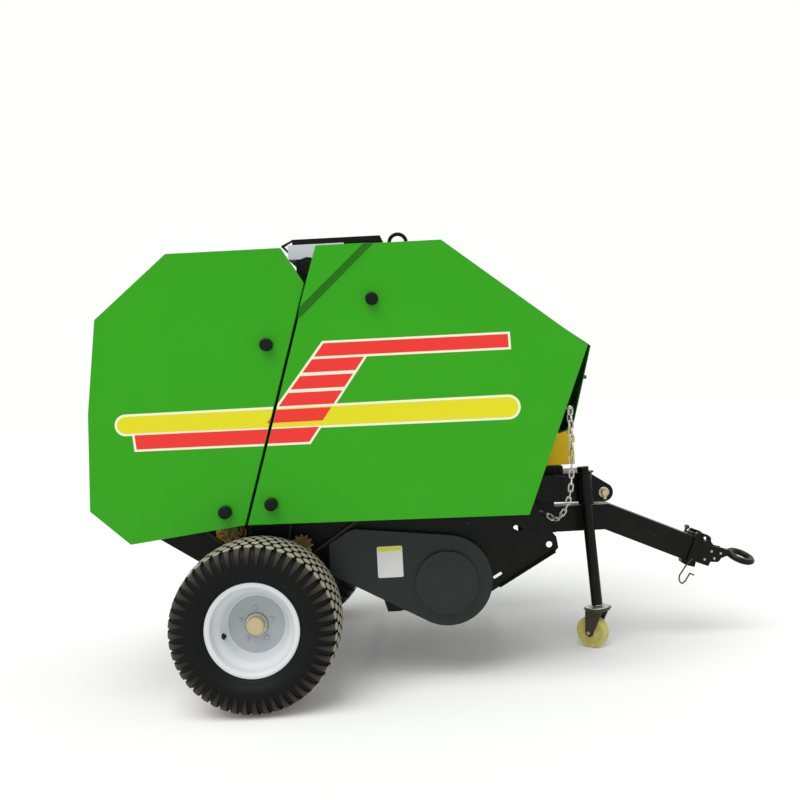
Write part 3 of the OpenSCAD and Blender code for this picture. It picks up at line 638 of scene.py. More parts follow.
def dress_parted(
    node: str,
    finish: Finish,
    label: str,
    other: Finish,
    chosen: Callable[[BMFace], bool],
    edge: float = 1.0,
) -> None:
    """Replace a CAD node by its rounded copy in two finishes.

    Args:
        node: CAD node.
        finish: Finish of most of it.
        label: Name of the chosen part.
        other: Finish of the chosen part.
        chosen: Tells whether a face belongs to the chosen part.
        edge: Width of the rounding in millimetres.
    """
    rest, part = parted(rounded(node, edge), chosen)
    add_piece(f"{node}.dressed", rest, finish, BODY_OF[node], [node])
    add_piece(f"{node}.{label}", part, other, BODY_OF[node])


def skin(work: BMesh, rings: Sequence[Sequence[BMVert]], closed: bool = True) -> None:
    """Join each ring of points to the next by faces.

    Args:
        work: Mesh under construction.
        rings: Rings with the same number of points.
        closed: Whether a ring's last point joins its first.
    """
    for low, high in zip(rings, rings[1:]):
        count = len(low)
        for index in range(count if closed else count - 1):
            after = (index + 1) % count
            work.faces.new((low[index], low[after], high[after], high[index]))


def lathe(profile: Sequence[Point], segments: int, closed: bool = True) -> BMesh:
    """Turn a profile round the Y axis.

    Args:
        profile: Radius and place along Y of each point, in millimetres.
        segments: Steps round the axis.
        closed: Whether the profile's last point joins its first.

    Returns:
        The turned mesh, still under construction.
    """
    work = bmesh.new()
    rings = []
    for step in range(segments):
        angle = 2 * math.pi * step / segments
        ring = [
            work.verts.new((radius * MM * math.sin(angle), across * MM, radius * MM * math.cos(angle)))
            for radius, across in profile
        ]
        rings.append(ring)
    skin(work, [*rings, rings[0]], closed)
    bmesh.ops.remove_doubles(work, verts=work.verts, dist=1e-7)
    return work


def turned_out(
    name: str, profile: Sequence[Point], side: Side, spot: Vector, segments: int = 40, closed: bool = True
) -> Mesh:
    """Turn a profile about a place, with its outer face away from the machine's middle.

    Args:
        name: Name of the mesh.
        profile: Radius and place along the axis, outwards positive, in millimetres.
        side: Side of the machine.
        spot: Place of the profile's zero in the row frame.
        segments: Steps round the axis.
        closed: Whether the profile closes on itself.

    Returns:
        The mesh in the row frame.
    """
    facing = [(radius, across * side.value) for radius, across in profile]
    mesh = smooth(to_mesh(lathe(facing, segments, closed), name), 30.0)
    mesh.transform(Matrix.Translation(spot))
    return mesh


def slab(outline: Sequence[Point], low: float, high: float) -> Mesh:
    """Raise a flat side outline between two places along Y.

    Args:
        outline: Places along X and Z, in millimetres.
        low: First place along Y, in millimetres.
        high: Second place along Y, in millimetres.

    Returns:
        The closed mesh.
    """
    work = bmesh.new()
    rings = [[work.verts.new((x * MM, width * MM, z * MM)) for x, z in outline] for width in (low, high)]
    for ring in rings:
        work.faces.new(ring)
    skin(work, rings)
    return to_mesh(work, "slab")


def prism(outline: Sequence[Point], low: float, high: float, side: Side) -> Mesh:
    """Raise a flat outline of the machine's side between two widths.

    Args:
        outline: Places ahead of the axle and above the ground, in millimetres.
        low: Inner width in millimetres from the middle.
        high: Outer width in millimetres from the middle.
        side: Side of the machine.

    Returns:
        The closed mesh in the row frame.
    """
    mesh = slab(outline, side.value * low, side.value * high)
    mesh.transform(Matrix.Translation(place(0, 0, 0)))
    return mesh


def grown(outline: Sequence[Point], margin: float) -> list[Point]:
    """Move every edge of an anticlockwise outline outwards.

    Args:
        outline: Points in millimetres.
        margin: Distance in millimetres.

    Returns:
        The larger outline.
    """
    result = []
    count = len(outline)
    for index in range(count):
        before, here, after = (Vector(outline[(index + step) % count]) for step in (-1, 0, 1))
        first, second = (here - before).normalized(), (after - here).normalized()
        left, right = Vector((first.y, -first.x)), Vector((second.y, -second.x))
        corner = here + margin * (left + right) / (1 + left.dot(right))
        result.append((corner.x, corner.y))
    return result


def between(start: Point, end: Point, share: float) -> Point:
    """Point at a share of the way from one point to another."""
    return start[0] + share * (end[0] - start[0]), start[1] + share * (end[1] - start[1])


def kept(outline: Sequence[Point], start: Point, end: Point) -> list[Point]:
    """Cut an outline by a line and keep what lies to its left.

    Args:
        outline: Points in millimetres.
        start: First point of the line.
        end: Second point of the line.

    Returns:
        The part that is kept, or an empty list.
    """

    def depth(point: Point) -> float:
        """Signed area that tells which side of the line a point is on."""
        return (end[0] - start[0]) * (point[1] - start[1]) - (end[1] - start[1]) * (point[0] - start[0])

    result: list[Point] = []
    for index, here in enumerate(outline):
        before = outline[index - 1]
        first, second = depth(before), depth(here)
        if (first < 0) != (second < 0):
            result.append(between(before, here, first / (first - second)))
        if second >= 0:
            result.append(here)
    return result


def arc(center: Point, radius: float, first: float, last: float, steps: int = 14) -> list[Point]:
    """Points on an arc about a middle, between two angles in degrees."""
    angles = [math.radians(first + (last - first) * step / steps) for step in range(steps + 1)]
    return [(center[0] + radius * math.cos(angle), center[1] + radius * math.sin(angle)) for angle in angles]


GEOMETRY = "NodeSocketGeometry"
OBJECT = "NodeSocketObject"
INTEGER = "NodeSocketInt"
ALIGN = "FunctionNodeAlignRotationToVector"


class Trees:
    """Geometry Nodes trees for what repeats, each built once."""

    def __init__(self) -> None:
        """Build the trees."""
        self.marks = self._marks()
        self.rows = self._rows()
        self.path = self._path()

    @staticmethod
    def _start(name: str, inputs: dict[str, str]) -> Group:
        """Start a tree that gives its result in one finish."""
        inputs = {**inputs, "Finish": "NodeSocketMaterial"}
        return Group(name, "GeometryNodeTree", inputs, {"Geometry": GEOMETRY})

    @staticmethod
    def _placed(lay: Group, points: Any, shape: str, rotation: Any, **more: Any) -> NodeSocket:
        """Set a shape on points.

        Args:
            lay: Tree under construction.
            points: Points to set it on.
            shape: Name of the tree's input with the shape.
            rotation: How it is turned on each point.
            more: Other inputs of the node.

        Returns:
            The shapes' socket.
        """
        drawn = lay.add("GeometryNodeObjectInfo", {"Object": lay.source[shape]}).outputs["Geometry"]
        inputs = {"Points": points, "Instance": drawn, "Rotation": rotation, **more}
        return lay.out("GeometryNodeInstanceOnPoints", inputs)

    @staticmethod
    def _finish(lay: Group, shapes: NodeSocket) -> NodeTree:
        """End a tree in plain faces with one material.

        Args:
            lay: Tree under construction.
            shapes: Shapes to make plain.

        Returns:
            The tree.
        """
        plain = lay.out("GeometryNodeRealizeInstances", {0: shapes})
        painted = {"Geometry": plain, "Material": lay.source["Finish"]}
        lay.feed(lay.sink, {0: lay.out("GeometryNodeSetMaterial", painted)})
        return lay.tree

    def _marks(self) -> NodeTree:
        """One shape on every mark, turned to the mark's heading and with its X axis ahead.

        Returns:
            The tree.
        """
        lay = self._start("Shape on marks", {"Marks": GEOMETRY, "Shape": OBJECT})
        attribute = "GeometryNodeInputNamedAttribute"
        heading = lay.out(attribute, {"Name": "heading"}, data_type="FLOAT_VECTOR")
        up = lay.out(ALIGN, {"Vector": heading}, axis="Z")
        turned = lay.out(ALIGN, {"Rotation": up, "Vector": (1.0, 0.0, 0.0)}, axis="X", pivot_axis="Z")
        return self._finish(lay, self._placed(lay, lay.source["Marks"], "Shape", turned))

    def _rows(self) -> NodeTree:
        """Staggered rows of one shape round a crowned drum about the Y axis.

        Returns:
            The tree.
        """
        counts = dict.fromkeys(("Count", "Rows"), INTEGER)
        sizes = dict.fromkeys(("Radius", "Width", "Crown", "Tilt", "Stagger"), FLOAT)
        lay = self._start("Rows round a drum", {"Marks": GEOMETRY, "Shape": OBJECT, **counts, **sizes})
        source = lay.source
        total = lay.math("MULTIPLY", source["Count"], source["Rows"])
        points = lay.out("GeometryNodeMeshLine", {"Count": total})
        index = lay.out("GeometryNodeInputIndex")
        row = lay.math("FLOOR", lay.math("DIVIDE", index, source["Count"]))
        step = lay.math("SUBTRACT", index, lay.math("MULTIPLY", row, source["Count"]))
        lead = lay.math("MULTIPLY", lay.math("MODULO", row, 2.0), source["Stagger"])
        turn = lay.math("DIVIDE", lay.math("ADD", step, lead), source["Count"])
        angle = lay.math("MULTIPLY", turn, 2 * math.pi)
        share = lay.math("DIVIDE", row, lay.math("SUBTRACT", source["Rows"], 1.0))
        lean = lay.math("MULTIPLY_ADD", share, 2.0, -1.0)
        across = lay.math("MULTIPLY", lean, lay.math("MULTIPLY", source["Width"], 0.5))
        drop = lay.math("MULTIPLY", lay.math("MULTIPLY", lean, lean), source["Crown"])
        radius = lay.math("SUBTRACT", source["Radius"], drop)
        ahead = lay.math("MULTIPLY", radius, lay.math("SINE", angle))
        above = lay.math("MULTIPLY", radius, lay.math("COSINE", angle))
        spot = lay.out("ShaderNodeCombineXYZ", {0: ahead, 1: across, 2: above})
        tilt = lay.math("MULTIPLY", lay.math("MULTIPLY", lean, source["Tilt"]), -1.0)
        euler = lay.out("ShaderNodeCombineXYZ", {0: tilt, 1: angle, 2: 0.0})
        rotation = lay.out("FunctionNodeEulerToRotation", {0: euler})
        moved = lay.out("GeometryNodeSetPosition", {"Geometry": points, "Position": spot})
        return self._finish(lay, self._placed(lay, moved, "Shape", rotation))

    def _path(self) -> NodeTree:
        """Two shapes in turn along a path, with their X axis along it.

        Returns:
            The tree.
        """
        inputs = {"Path": GEOMETRY, "Even": OBJECT, "Odd": OBJECT, "Count": INTEGER}
        lay = self._start("Links along a path", inputs)
        curve = lay.out("GeometryNodeMeshToCurve", {0: lay.source["Path"]})
        spread = {"Curve": curve, "Count": lay.source["Count"]}
        points = lay.add("GeometryNodeCurveToPoints", spread, mode="COUNT").outputs
        along = lay.out(ALIGN, {"Vector": points["Tangent"]}, axis="X")
        upright = lay.out(ALIGN, {"Rotation": along, "Vector": (0.0, 1.0, 0.0)}, axis="Y", pivot_axis="X")
        odd = lay.math("MODULO", lay.out("GeometryNodeInputIndex"), 2.0)
        even = lay.math("SUBTRACT", 1.0, odd)
        join = lay.add("GeometryNodeJoinGeometry")
        for name, chosen in (("Odd", odd), ("Even", even)):
            lay.feed(join, {0: self._placed(lay, points["Points"], name, upright, Selection=chosen)})
        return self._finish(lay, join.outputs[0])


TREES = Trees()


def repeated(
    tree: NodeTree, start: Mesh, shapes: dict[str, Mesh], **values: Any
) -> Mesh:
    """Run a Geometry Nodes tree and keep its result as a plain mesh.

    Args:
        tree: Tree to run.
        start: Mesh that the tree starts from.
        shapes: Meshes for the tree's object inputs, by input name.
        values: Other inputs, by input name.

    Returns:
        The plain mesh.
    """
    holders = {name: bpy.data.objects.new(name, mesh) for name, mesh in shapes.items()}
    holder = linked("repeating", start)
    modifier = holder.modifiers.new("repeat", "NODES")
    modifier.node_group = tree
    known = {**values, **holders}
    for item in tree.interface.items_tree:
        if item.item_type == "SOCKET" and item.in_out == "INPUT" and item.name in known:
            modifier[item.identifier] = known[item.name]
    result = settled(holder)
    for used in holders.values():
        bpy.data.objects.remove(used)
    return result


@dataclass(frozen=True)
class Mark:
    """A place for a repeated shape, in the row frame."""

    spot: Vector
    heading: Vector


def on_marks(shape: Mesh, marks: Sequence[Mark], finish: Finish) -> Mesh:
    """Set one shape on every mark.

    Args:
        shape: Shape about its own origin, with +Z along the heading.
        marks: Places.
        finish: Finish of the result.

    Returns:
        One mesh with all the shapes.
    """
    start = bpy.data.meshes.new("marks")
    start.from_pydata([mark.spot for mark in marks], [], [])
    layer = start.attributes.new("heading", "FLOAT_VECTOR", "POINT")
    layer.data.foreach_set("vector", [part for mark in marks for part in mark.heading])
    return repeated(TREES.marks, start, {"Shape": shape}, Finish=finish.material())


def turned_up(name: str, profile: Sequence[Point], segments: int) -> Mesh:
    """Turn a profile round the Z axis.

    Args:
        name: Name of the mesh.
        profile: Radius and height of each point, in millimetres.
        segments: Steps round the axis.

    Returns:
        The mesh.
    """
    work = lathe(profile, segments, closed=False)
    upright = Matrix.Rotation(math.radians(90), 3, "X")
    bmesh.ops.rotate(work, verts=work.verts, cent=(0, 0, 0), matrix=upright)
    return to_mesh(work, name)


def hex_bolt(across_flats: float) -> Mesh:
    """Hexagon head on a washer, standing on its origin.

    Args:
        across_flats: Width of the head in millimetres.

    Returns:
        The shape.
    """
    reach = across_flats / math.sqrt(3)
    rim = across_flats * 0.68
    top = across_flats * 0.6
    washer = turned_up("washer", [(0, 0), (rim, 0), (rim, 1.4), (rim * 0.92, 2), (0, 2)], 20)
    head = turned_up("head", [(0, 2), (reach, 2), (reach, top - 1.5), (reach * 0.88, top), (0, top)], 6)
    return smooth(joined("bolt", [washer, head]), 25.0)


class SidePanels:
    """The four painted side panels and the stripes on them."""

    border = 7.0
    ladder_start: Point = (236.0, 1083.0)
    ladder_end: Point = (357.0, 1035.0)
    slant_left = 0.787
    slant_right = 0.725
    bar_top = 1036.0
    bar_pitch = 49.3
    bar_height = 39.0
    bar_count = 4
    split_low: Point = (-22.0, 542.0)
    split_top: Point = (229.0, 1380.0)
    split_gap = 9.0
    trim = 1.0
    film_step = 0.02
    crease_tilts = (0.5, 0.97)
    crease_area = 0.002
    panel_edge = 1.4
    knob_edge = 1.6

    def ladder_left(self, z: float) -> float:
        """Left edge of the slanting bars at a height."""
        return self.ladder_start[0] - self.slant_left * (self.ladder_start[1] - z)

    def ladder_right(self, z: float) -> float:
        """Right edge of the slanting bars at a height."""
        return self.ladder_end[0] - self.slant_right * (self.ladder_end[1] - z)

    def bar(self, top: float) -> list[Point]:
        """Outline of one slanting bar.

        Args:
            top: Height of its top edge.

        Returns:
            The outline, anticlockwise.
        """
        low = top - self.bar_height
        return [
            (self.ladder_left(top), top),
            (self.ladder_left(low), low),
            (self.ladder_right(low), low),
            (self.ladder_right(top), top),
        ]

    def outlines(self) -> dict[Slot, list[list[Point]]]:
        """Outlines of the stripes by colour.

        Returns:
            The outlines, anticlockwise.
        """
        yellow = arc((-378, 865), 26, 90, 270) + arc((788, 860), 31, -90, 90)
        upper = [self.ladder_start, (206, 1044), (799, 1042), (798, 1082)]
        lower = [(-352, 833), (-348, 790), (178, 786), (210, 830)]
        tops = [self.bar_top - self.bar_pitch * step for step in range(self.bar_count)]
        bars = [self.bar(top) for top in tops]
        foot = tops[-1] - self.bar_height + self.bar_pitch
        ladder = [
            self.ladder_start,
            (self.ladder_left(foot), foot),
            (self.ladder_right(foot), foot),
            (self.ladder_right(1042), 1042),
            (320, 1083),
        ]
        edged = [yellow, upper, lower, ladder]
        return {
            Slot.CREAM: [grown(outline, self.border) for outline in edged],
            Slot.YELLOW: [yellow],
            Slot.RED: [upper, lower, *bars],
        }

    def stripes(self, side: Side) -> None:
        """Lay the stripes on both panels of a side.

        Args:
            side: Side of the machine.
        """
        face = PANEL_FACE / MM
        layers = {
            Slot.CREAM: (STRIPE_CREAM, -0.4, 0.2),
            Slot.YELLOW: (STRIPE_YELLOW, 0.1, 0.5),
            Slot.RED: (STRIPE_RED, 0.1, 0.8),
        }
        low, top = self.split_low, self.split_top
        gap = self.split_gap + self.trim
        cuts = {
            "front": ((top[0] + self.trim, top[1]), (low[0] + self.trim, low[1])),
            "rear": ((low[0] - gap, low[1]), (top[0] - gap, top[1])),
        }
        for slot, outlines in self.outlines().items():
            finish, inner, outer = layers[slot]
            for panel, (start, end) in cuts.items():
                parts = []
                for step, outline in enumerate(outlines):
                    part = kept(outline, start, end)
                    if len(part) > 2:
                        raised = face + outer + self.film_step * step
                        parts.append(prism(part, face + inner, raised, side))
                if parts:
                    name = f"{slot.value}_{panel}_{side.word}"
                    add_piece(name, joined(name, parts), finish, "frame" if panel == "front" else "gate")

    def creased(self, face: BMFace) -> bool:
        """Whether a face is the slope below a panel's raised corner, the band that is given painted shade."""
        flattest, steepest = self.crease_tilts
        return flattest < abs(face.normal.y) < steepest and face.calc_area() > self.crease_area

    def build(self) -> None:
        """Make the panels, knobs and stripes."""
        for side in Side:
            front = f"front_panel_{side.word}"
            # The slope below the raised corner takes a darker green as painted shade.
            dress_parted(front, GREEN, "crease", CREASE_PAINTED_SHADE, self.creased, self.panel_edge)
            dress(f"rear_panel_{side.word}", GREEN, self.panel_edge)
            self.stripes(side)
        for node in ("front_knobs", "rear_knobs"):
            dress(node, KNOB, self.knob_edge)


def middle(node: str) -> Vector:
    """Middle of a CAD node's box."""
    low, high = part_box(node)
    return (low + high) / 2


@dataclass(frozen=True)
class Wheel:
    """A treaded tyre on a painted rim, with its hub."""

    side: Side
    block_count: int = 48
    block_rows: int = 7
    block_half: float = 12.8
    block_tip: float = 16.8
    block_shoulder: float = 7.6
    block_crown: float = 7.8
    corner_share: float = 0.24
    tread_width: float = 188.0
    tread_radius: float = 246.0
    tread_tilt: float = 10.0
    crown: float = 7.5
    bar_height: float = 4.2
    bar_root: float = -1.2
    bar_taper: float = 0.8
    nut_count: int = 5
    nut_circle: float = 50.0
    nut_face: float = 21.5

    def center(self) -> Vector:
        """Middle of the wheel on the axle."""
        return middle(f"tyre_{self.side.word}")

    def block(self) -> Mesh:
        """One rounded six-sided tread block, with its top marked as worn.

        Returns:
            The shape, with +Z away from the axle.
        """
        half, shoulder = self.block_half, self.block_shoulder
        corners = [(0, self.block_tip), (half, shoulder), (half, -shoulder)]
        corners += [(-x, -y) for x, y in corners]
        outline = []
        for index, here in enumerate(corners):
            for other in (corners[index - 1], corners[(index + 1) % len(corners)]):
                outline.append(between(here, other, self.corner_share))
        work = bmesh.new()
        mark = work.verts.layers.float.new("worn")
        levels = [(1.0, -5.0, 0.0), (0.97, 5.9, 0.0), (0.91, 7.2, 0.8)]
        rings = []
        for scale, height, worn in levels:
            ring = [work.verts.new((x * scale * MM, y * scale * MM, height * MM)) for x, y in outline]
            for vertex in ring:
                vertex[mark] = worn
            rings.append(ring)
        skin(work, rings)
        crown = work.verts.new((0, 0, self.block_crown * MM))
        crown[mark] = 1.0
        top = rings[-1]
        for index, vertex in enumerate(top):
            work.faces.new((vertex, top[(index + 1) % len(top)], crown))
        work.faces.new(list(reversed(rings[0])))
        return to_mesh(work, "block")

    def bars(self) -> Mesh:
        """One pair of shoulder bars that run from the tread's edges down both sidewalls.

        Returns:
            The shape about the wheel's axle, standing at its top, with its heads marked as worn.
        """
        spine = [
            (239.5, 104.0), (236.5, 109.5), (232.0, 114.5), (221.5, 120.5), (207.0, 124.6), (190.0, 126.2),
        ]
        widths = [10.0, 9.6, 8.6, 7.6, 6.4, 5.0]
        lifts = [0.9, 1.0, 1.0, 0.95, 0.8, 0.1]
        wear = [0.2, 0.13, 0.09, 0.06, 0.03, 0.0]
        root, taper = self.bar_root, self.bar_taper
        section = [(-1, root, 0), (-taper, 1, 1), (taper, 1, 1), (1, root, 0)]
        work = bmesh.new()
        mark = work.verts.layers.float.new("worn")
        for sign in (-1, 1):
            rings = []
            for index, (radius, across) in enumerate(spine):
                before = Vector(spine[max(index - 1, 0)])
                after = Vector(spine[min(index + 1, len(spine) - 1)])
                run = (after - before).normalized()
                rise = Vector((run.y, -run.x)) * self.bar_height * lifts[index]
                ring = []
                for share, lift, worn in section:
                    out, up = across + lift * rise.y, radius + lift * rise.x
                    vertex = work.verts.new((share * widths[index] * MM, sign * out * MM, up * MM))
                    vertex[mark] = worn * wear[index]
                    ring.append(vertex)
                rings.append(ring)
            skin(work, rings)
            work.faces.new(rings[0])
            work.faces.new(rings[-1])
        return to_mesh(work, "bars")

    @staticmethod
    def carcass() -> Mesh:
        """Round body of the tyre.

        Returns:
            The mesh about the wheel's middle.
        """
        outer = [
            (127, 86), (127, 100), (142, 103), (146, 105.5), (149, 109), (153, 110), (157, 113),
            (165, 119.5), (178, 124.8), (192, 126), (208, 123.4), (221, 118.5), (231, 111), (237, 102),
            (240.5, 90), (244, 60), (245.6, 30), (245.8, 0),
        ]
        inner = [(231, 0), (231, 60), (225, 94), (211, 110), (194, 113.5), (165, 107), (142, 90)]
        mirrored = [(radius, -across) for radius, across in reversed(outer[:-1])]
        back = [(radius, -across) for radius, across in reversed(inner[1:])]
        return smooth(to_mesh(lathe(outer + mirrored + back + inner, 128), "carcass"), 40.0)

    def in_rows(self, name: str, shape: Mesh, rows: int, **sizes: float) -> Mesh:
        """Repeat a shape in rows round the wheel.

        Args:
            name: Name of the mesh.
            shape: Shape to repeat.
            rows: Rows across the tread.
            sizes: Sizes of the rows that aren't zero.

        Returns:
            The mesh about the wheel's middle.
        """
        known = dict.fromkeys(("Radius", "Width", "Crown", "Tilt", "Stagger"), 0.0) | sizes
        counts = {"Count": self.block_count, "Rows": rows}
        start = bpy.data.meshes.new(name)
        mesh = repeated(TREES.rows, start, {"Shape": shape}, Finish=RUBBER.material(), **counts, **known)
        return smooth(mesh, 30.0)

    def tyre(self) -> None:
        """Make the tyre from its carcass, tread blocks and shoulder bars."""
        blocks = self.in_rows(
            "tread", self.block(), self.block_rows, Radius=self.tread_radius * MM, Stagger=0.5,
            Width=self.tread_width * MM, Crown=self.crown * MM, Tilt=math.radians(self.tread_tilt),
        )
        bars = self.in_rows("shoulders", self.bars(), 1)
        mesh = joined(f"tyre {self.side.word}", [self.carcass(), blocks, bars])
        mesh.transform(Matrix.Translation(self.center()))
        node = f"tyre_{self.side.word}"
        add_piece(f"{node}.treaded", mesh, RUBBER, BODY_OF[node], [node])

    def turned(self, name: str, profile: Sequence[Point], closed: bool = True) -> Mesh:
        """Turn a profile about this wheel's middle, with its outer face outwards."""
        return turned_out(name, profile, self.side, self.center(), 96, closed)

    def rim(self) -> None:
        """Make the rim, its disc and its valve."""
        lip = [
            (138.5, 105), (140, 103.5), (139.5, 101.5), (136, 101), (128, 99.5), (127, 97), (127, 76),
            (109, 60),
        ]
        well = [(radius, -across) for radius, across in reversed(lip)]
        back = [
            (134, -105), (125, -103), (123, -98), (123, -74), (104, -58), (104, 48), (89.5, 17.8), (86, 17.8),
        ]
        bowl = [(86, 22.2), (89, 23.4), (93, 31), (101, 51), (104, 56.5), (109, 62), (118.5, 71), (121.5, 75)]
        edge = [(122.8, 80), (123, 98), (125, 102.6), (130, 105.2), (135, 105.6)]
        node = f"rim_{self.side.word}"
        body = BODY_OF[node]
        barrel = self.turned("barrel", lip + well + back + bowl + edge)
        add_piece(f"{node}.barrel", barrel, RIM, body, [node])
        disc = [(86.6, 18), (86.6, 22), (80, 22), (60, 21.6), (35.2, 21.6), (35.2, 18)]
        add_piece(f"{node}.disc", self.turned("disc", disc), DISC, body)
        spot = self.center() + Vector((-0.0955, self.side.value * 0.0465, -0.026))
        out = Vector((0.86, self.side.value * 0.44, 0.23)).normalized()
        stem = [(0, -4), (9.5, -4), (9.5, 1), (7, 3), (5, 8), (4, 9), (0, 9)]
        valve = on_marks(turned_up("valve", stem, 16), [Mark(spot, out)], KNOB)
        add_piece(f"valve_{self.side.word}", smooth(valve), KNOB, body)

    def hub(self) -> None:
        """Make the hub with its cap and nuts."""
        word, out = self.side.word, self.side.value
        node = f"hub_{word}"
        flange = [(20.2, -75), (42, -75), (42, 8), (72, 8), (72, 17), (70, 18), (35, 18)]
        boss = [(34, 29), (32, 31), (20.2, 31)]
        add_piece(f"{node}.barrel", self.turned("hub", flange + boss), ZINC, BODY_OF[node], [node])
        cap = [(20.2, 31.2), (27, 31.2), (27, 47), (26.4, 50), (24, 52.6), (20, 53.2), (0, 53.4)]
        inner = [(0, 45), (20.2, 45)]
        shell = self.turned("cap", cap + inner, closed=False)
        add_piece(f"hub_cap_{word}", shell, BRASS, BODY_OF[node])
        marks = []
        for step in range(self.nut_count):
            angle = 2 * math.pi * step / self.nut_count
            ahead, above = self.nut_circle * math.sin(angle), self.nut_circle * math.cos(angle)
            reach = Vector((ahead, out * self.nut_face, above)) * MM
            marks.append(Mark(self.center() + reach, Vector((0, out, 0))))
        nuts = on_marks(hex_bolt(10.0), marks, DISC)
        add_piece(f"wheel_nuts_{word}", nuts, DISC, BODY_OF[f"rim_{word}"])

    def build(self) -> None:
        """Make the whole wheel."""
        self.tyre()
        self.rim()
        self.hub()


def taut(centers: Sequence[Point], radius: float, steps: int = 5) -> list[Point]:
    """Closed path drawn taut round circles of one size.

    Args:
        centers: Middles of the circles, anticlockwise.
        radius: Radius of the circles.
        steps: Steps round each circle.

    Returns:
        The path's points.
    """
    path: list[Point] = []
    for index, here in enumerate(centers):
        before, after = centers[index - 1], centers[(index + 1) % len(centers)]
        start = math.atan2(before[0] - here[0], here[1] - before[1])
        end = math.atan2(here[0] - after[0], after[1] - here[1])
        turn = (end - start) % (2 * math.pi)
        path += arc(here, radius, math.degrees(start), math.degrees(start + turn), steps)
    return path


@dataclass(frozen=True)
class DriveChain:
    """Roller chain round the sprockets of a group of rollers."""

    node: str
    rollers: tuple[str, ...]
    link_count: int
    loop_radius: float = 40.9
    pitch: float = 15.9
    plate_radius: float = 3.8
    plate_thickness: float = 1.4
    outer_gap: float = 4.4
    inner_gap: float = 2.8

    def link(self, gap: float) -> Mesh:
        """Two side plates joined by a roller.

        Args:
            gap: Distance of a plate's inner face from the chain's middle.

        Returns:
            The shape, laid along X.
        """
        half, radius = self.pitch / 2, self.plate_radius
        outline = arc((half, 0), radius, -90, 90, 3) + arc((-half, 0), radius, 90, 270, 3)
        plates = [slab(outline, side * gap, side * (gap + self.plate_thickness)) for side in (-1, 1)]
        roller = slab(arc((half, 0), radius * 0.85, 0, 300, 5), -gap, gap)
        return joined("link", [*plates, roller])

    def build(self) -> None:
        """Lay the links round the sprockets."""
        centers = [(middle(roller).x / MM, middle(roller).z / MM) for roller in self.rollers]
        across = middle(self.node).y
        points = taut(centers, self.loop_radius)
        path = bpy.data.meshes.new("path")
        spots = [(x * MM, across, z * MM) for x, z in points]
        path.from_pydata(spots, [(index, (index + 1) % len(spots)) for index in range(len(spots))], [])
        mesh = repeated(
            TREES.path, path, {"Even": self.link(self.outer_gap), "Odd": self.link(self.inner_gap)},
            Finish=CHAIN.material(), Count=self.link_count,
        )
        add_piece(f"{self.node}.links", smooth(mesh), CHAIN, BODY_OF[self.node], [self.node])


@dataclass(frozen=True)
class Chamber:
    """Rollers with their sprockets, drive chains and bearing flanges."""

    front_count: int = 6
    gate_count: int = 7
    sprocket_face: float = 422.5
    flange_bore: float = 30.6
    flange_radius: float = 47.0
    flange_inner: float = 411.0
    flange_outer: float = 416.0
    hump_foot: float = 38.0
    hump_top: float = 35.0
    bolt_circle: float = 42.5
    bolt_count: int = 4
    bolt_flats: float = 8.0

    def on_sprocket(self, face: BMFace) -> bool:
        """Whether a face of a roller is on its sprocket."""
        return face.calc_center_median().y < -self.sprocket_face * MM

    def rollers(self) -> None:
        """Paint the rollers and leave their sprockets in oiled steel."""
        for node in frame["nodes"]:
            if "_roller_" in node:
                dress_parted(node, ROLLER, "sprocket", SPROCKET, self.on_sprocket)

    def flanges(self, names: Sequence[str]) -> None:
        """Set a bolted bearing flange round each gate boss.

        Args:
            names: Gate rollers.
        """
        bore, radius = self.flange_bore, self.flange_radius
        inner, outer = self.flange_inner, self.flange_outer
        plate = [(bore, inner), (radius, inner), (radius, outer - 1), (radius - 2, outer)]
        hump = [(self.hump_foot, outer), (self.hump_top, outer + 3), (bore, outer + 3.5)]
        for side in Side:
            rings = []
            bolts = []
            for name in names:
                spot = Vector((middle(name).x, 0, middle(name).z))
                rings.append(turned_out("flange", plate + hump, side, spot))
                for step in range(self.bolt_count):
                    angle = 2 * math.pi * (step + 0.5) / self.bolt_count
                    ahead, above = self.bolt_circle * math.cos(angle), self.bolt_circle * math.sin(angle)
                    reach = Vector((ahead, side.value * outer, above)) * MM
                    bolts.append(Mark(spot + reach, Vector((0, side.value, 0))))
            label = f"gate_flanges_{side.word}"
            add_piece(label, joined(label, rings), GOLD, "gate")
            label = f"gate_flange_bolts_{side.word}"
            add_piece(label, on_marks(hex_bolt(self.bolt_flats), bolts, ZINC), ZINC, "gate")

    def build(self) -> None:
        """Make the rollers, chains and flanges."""
        self.rollers()
        front = tuple(f"front_roller_{index}" for index in range(self.front_count, 0, -1))
        gate = tuple(f"gate_roller_{index}" for index in range(1, self.gate_count + 1))
        DriveChain("front_chain", front, 134).build()
        DriveChain("gate_chain", gate, 124).build()
        self.flanges(gate)


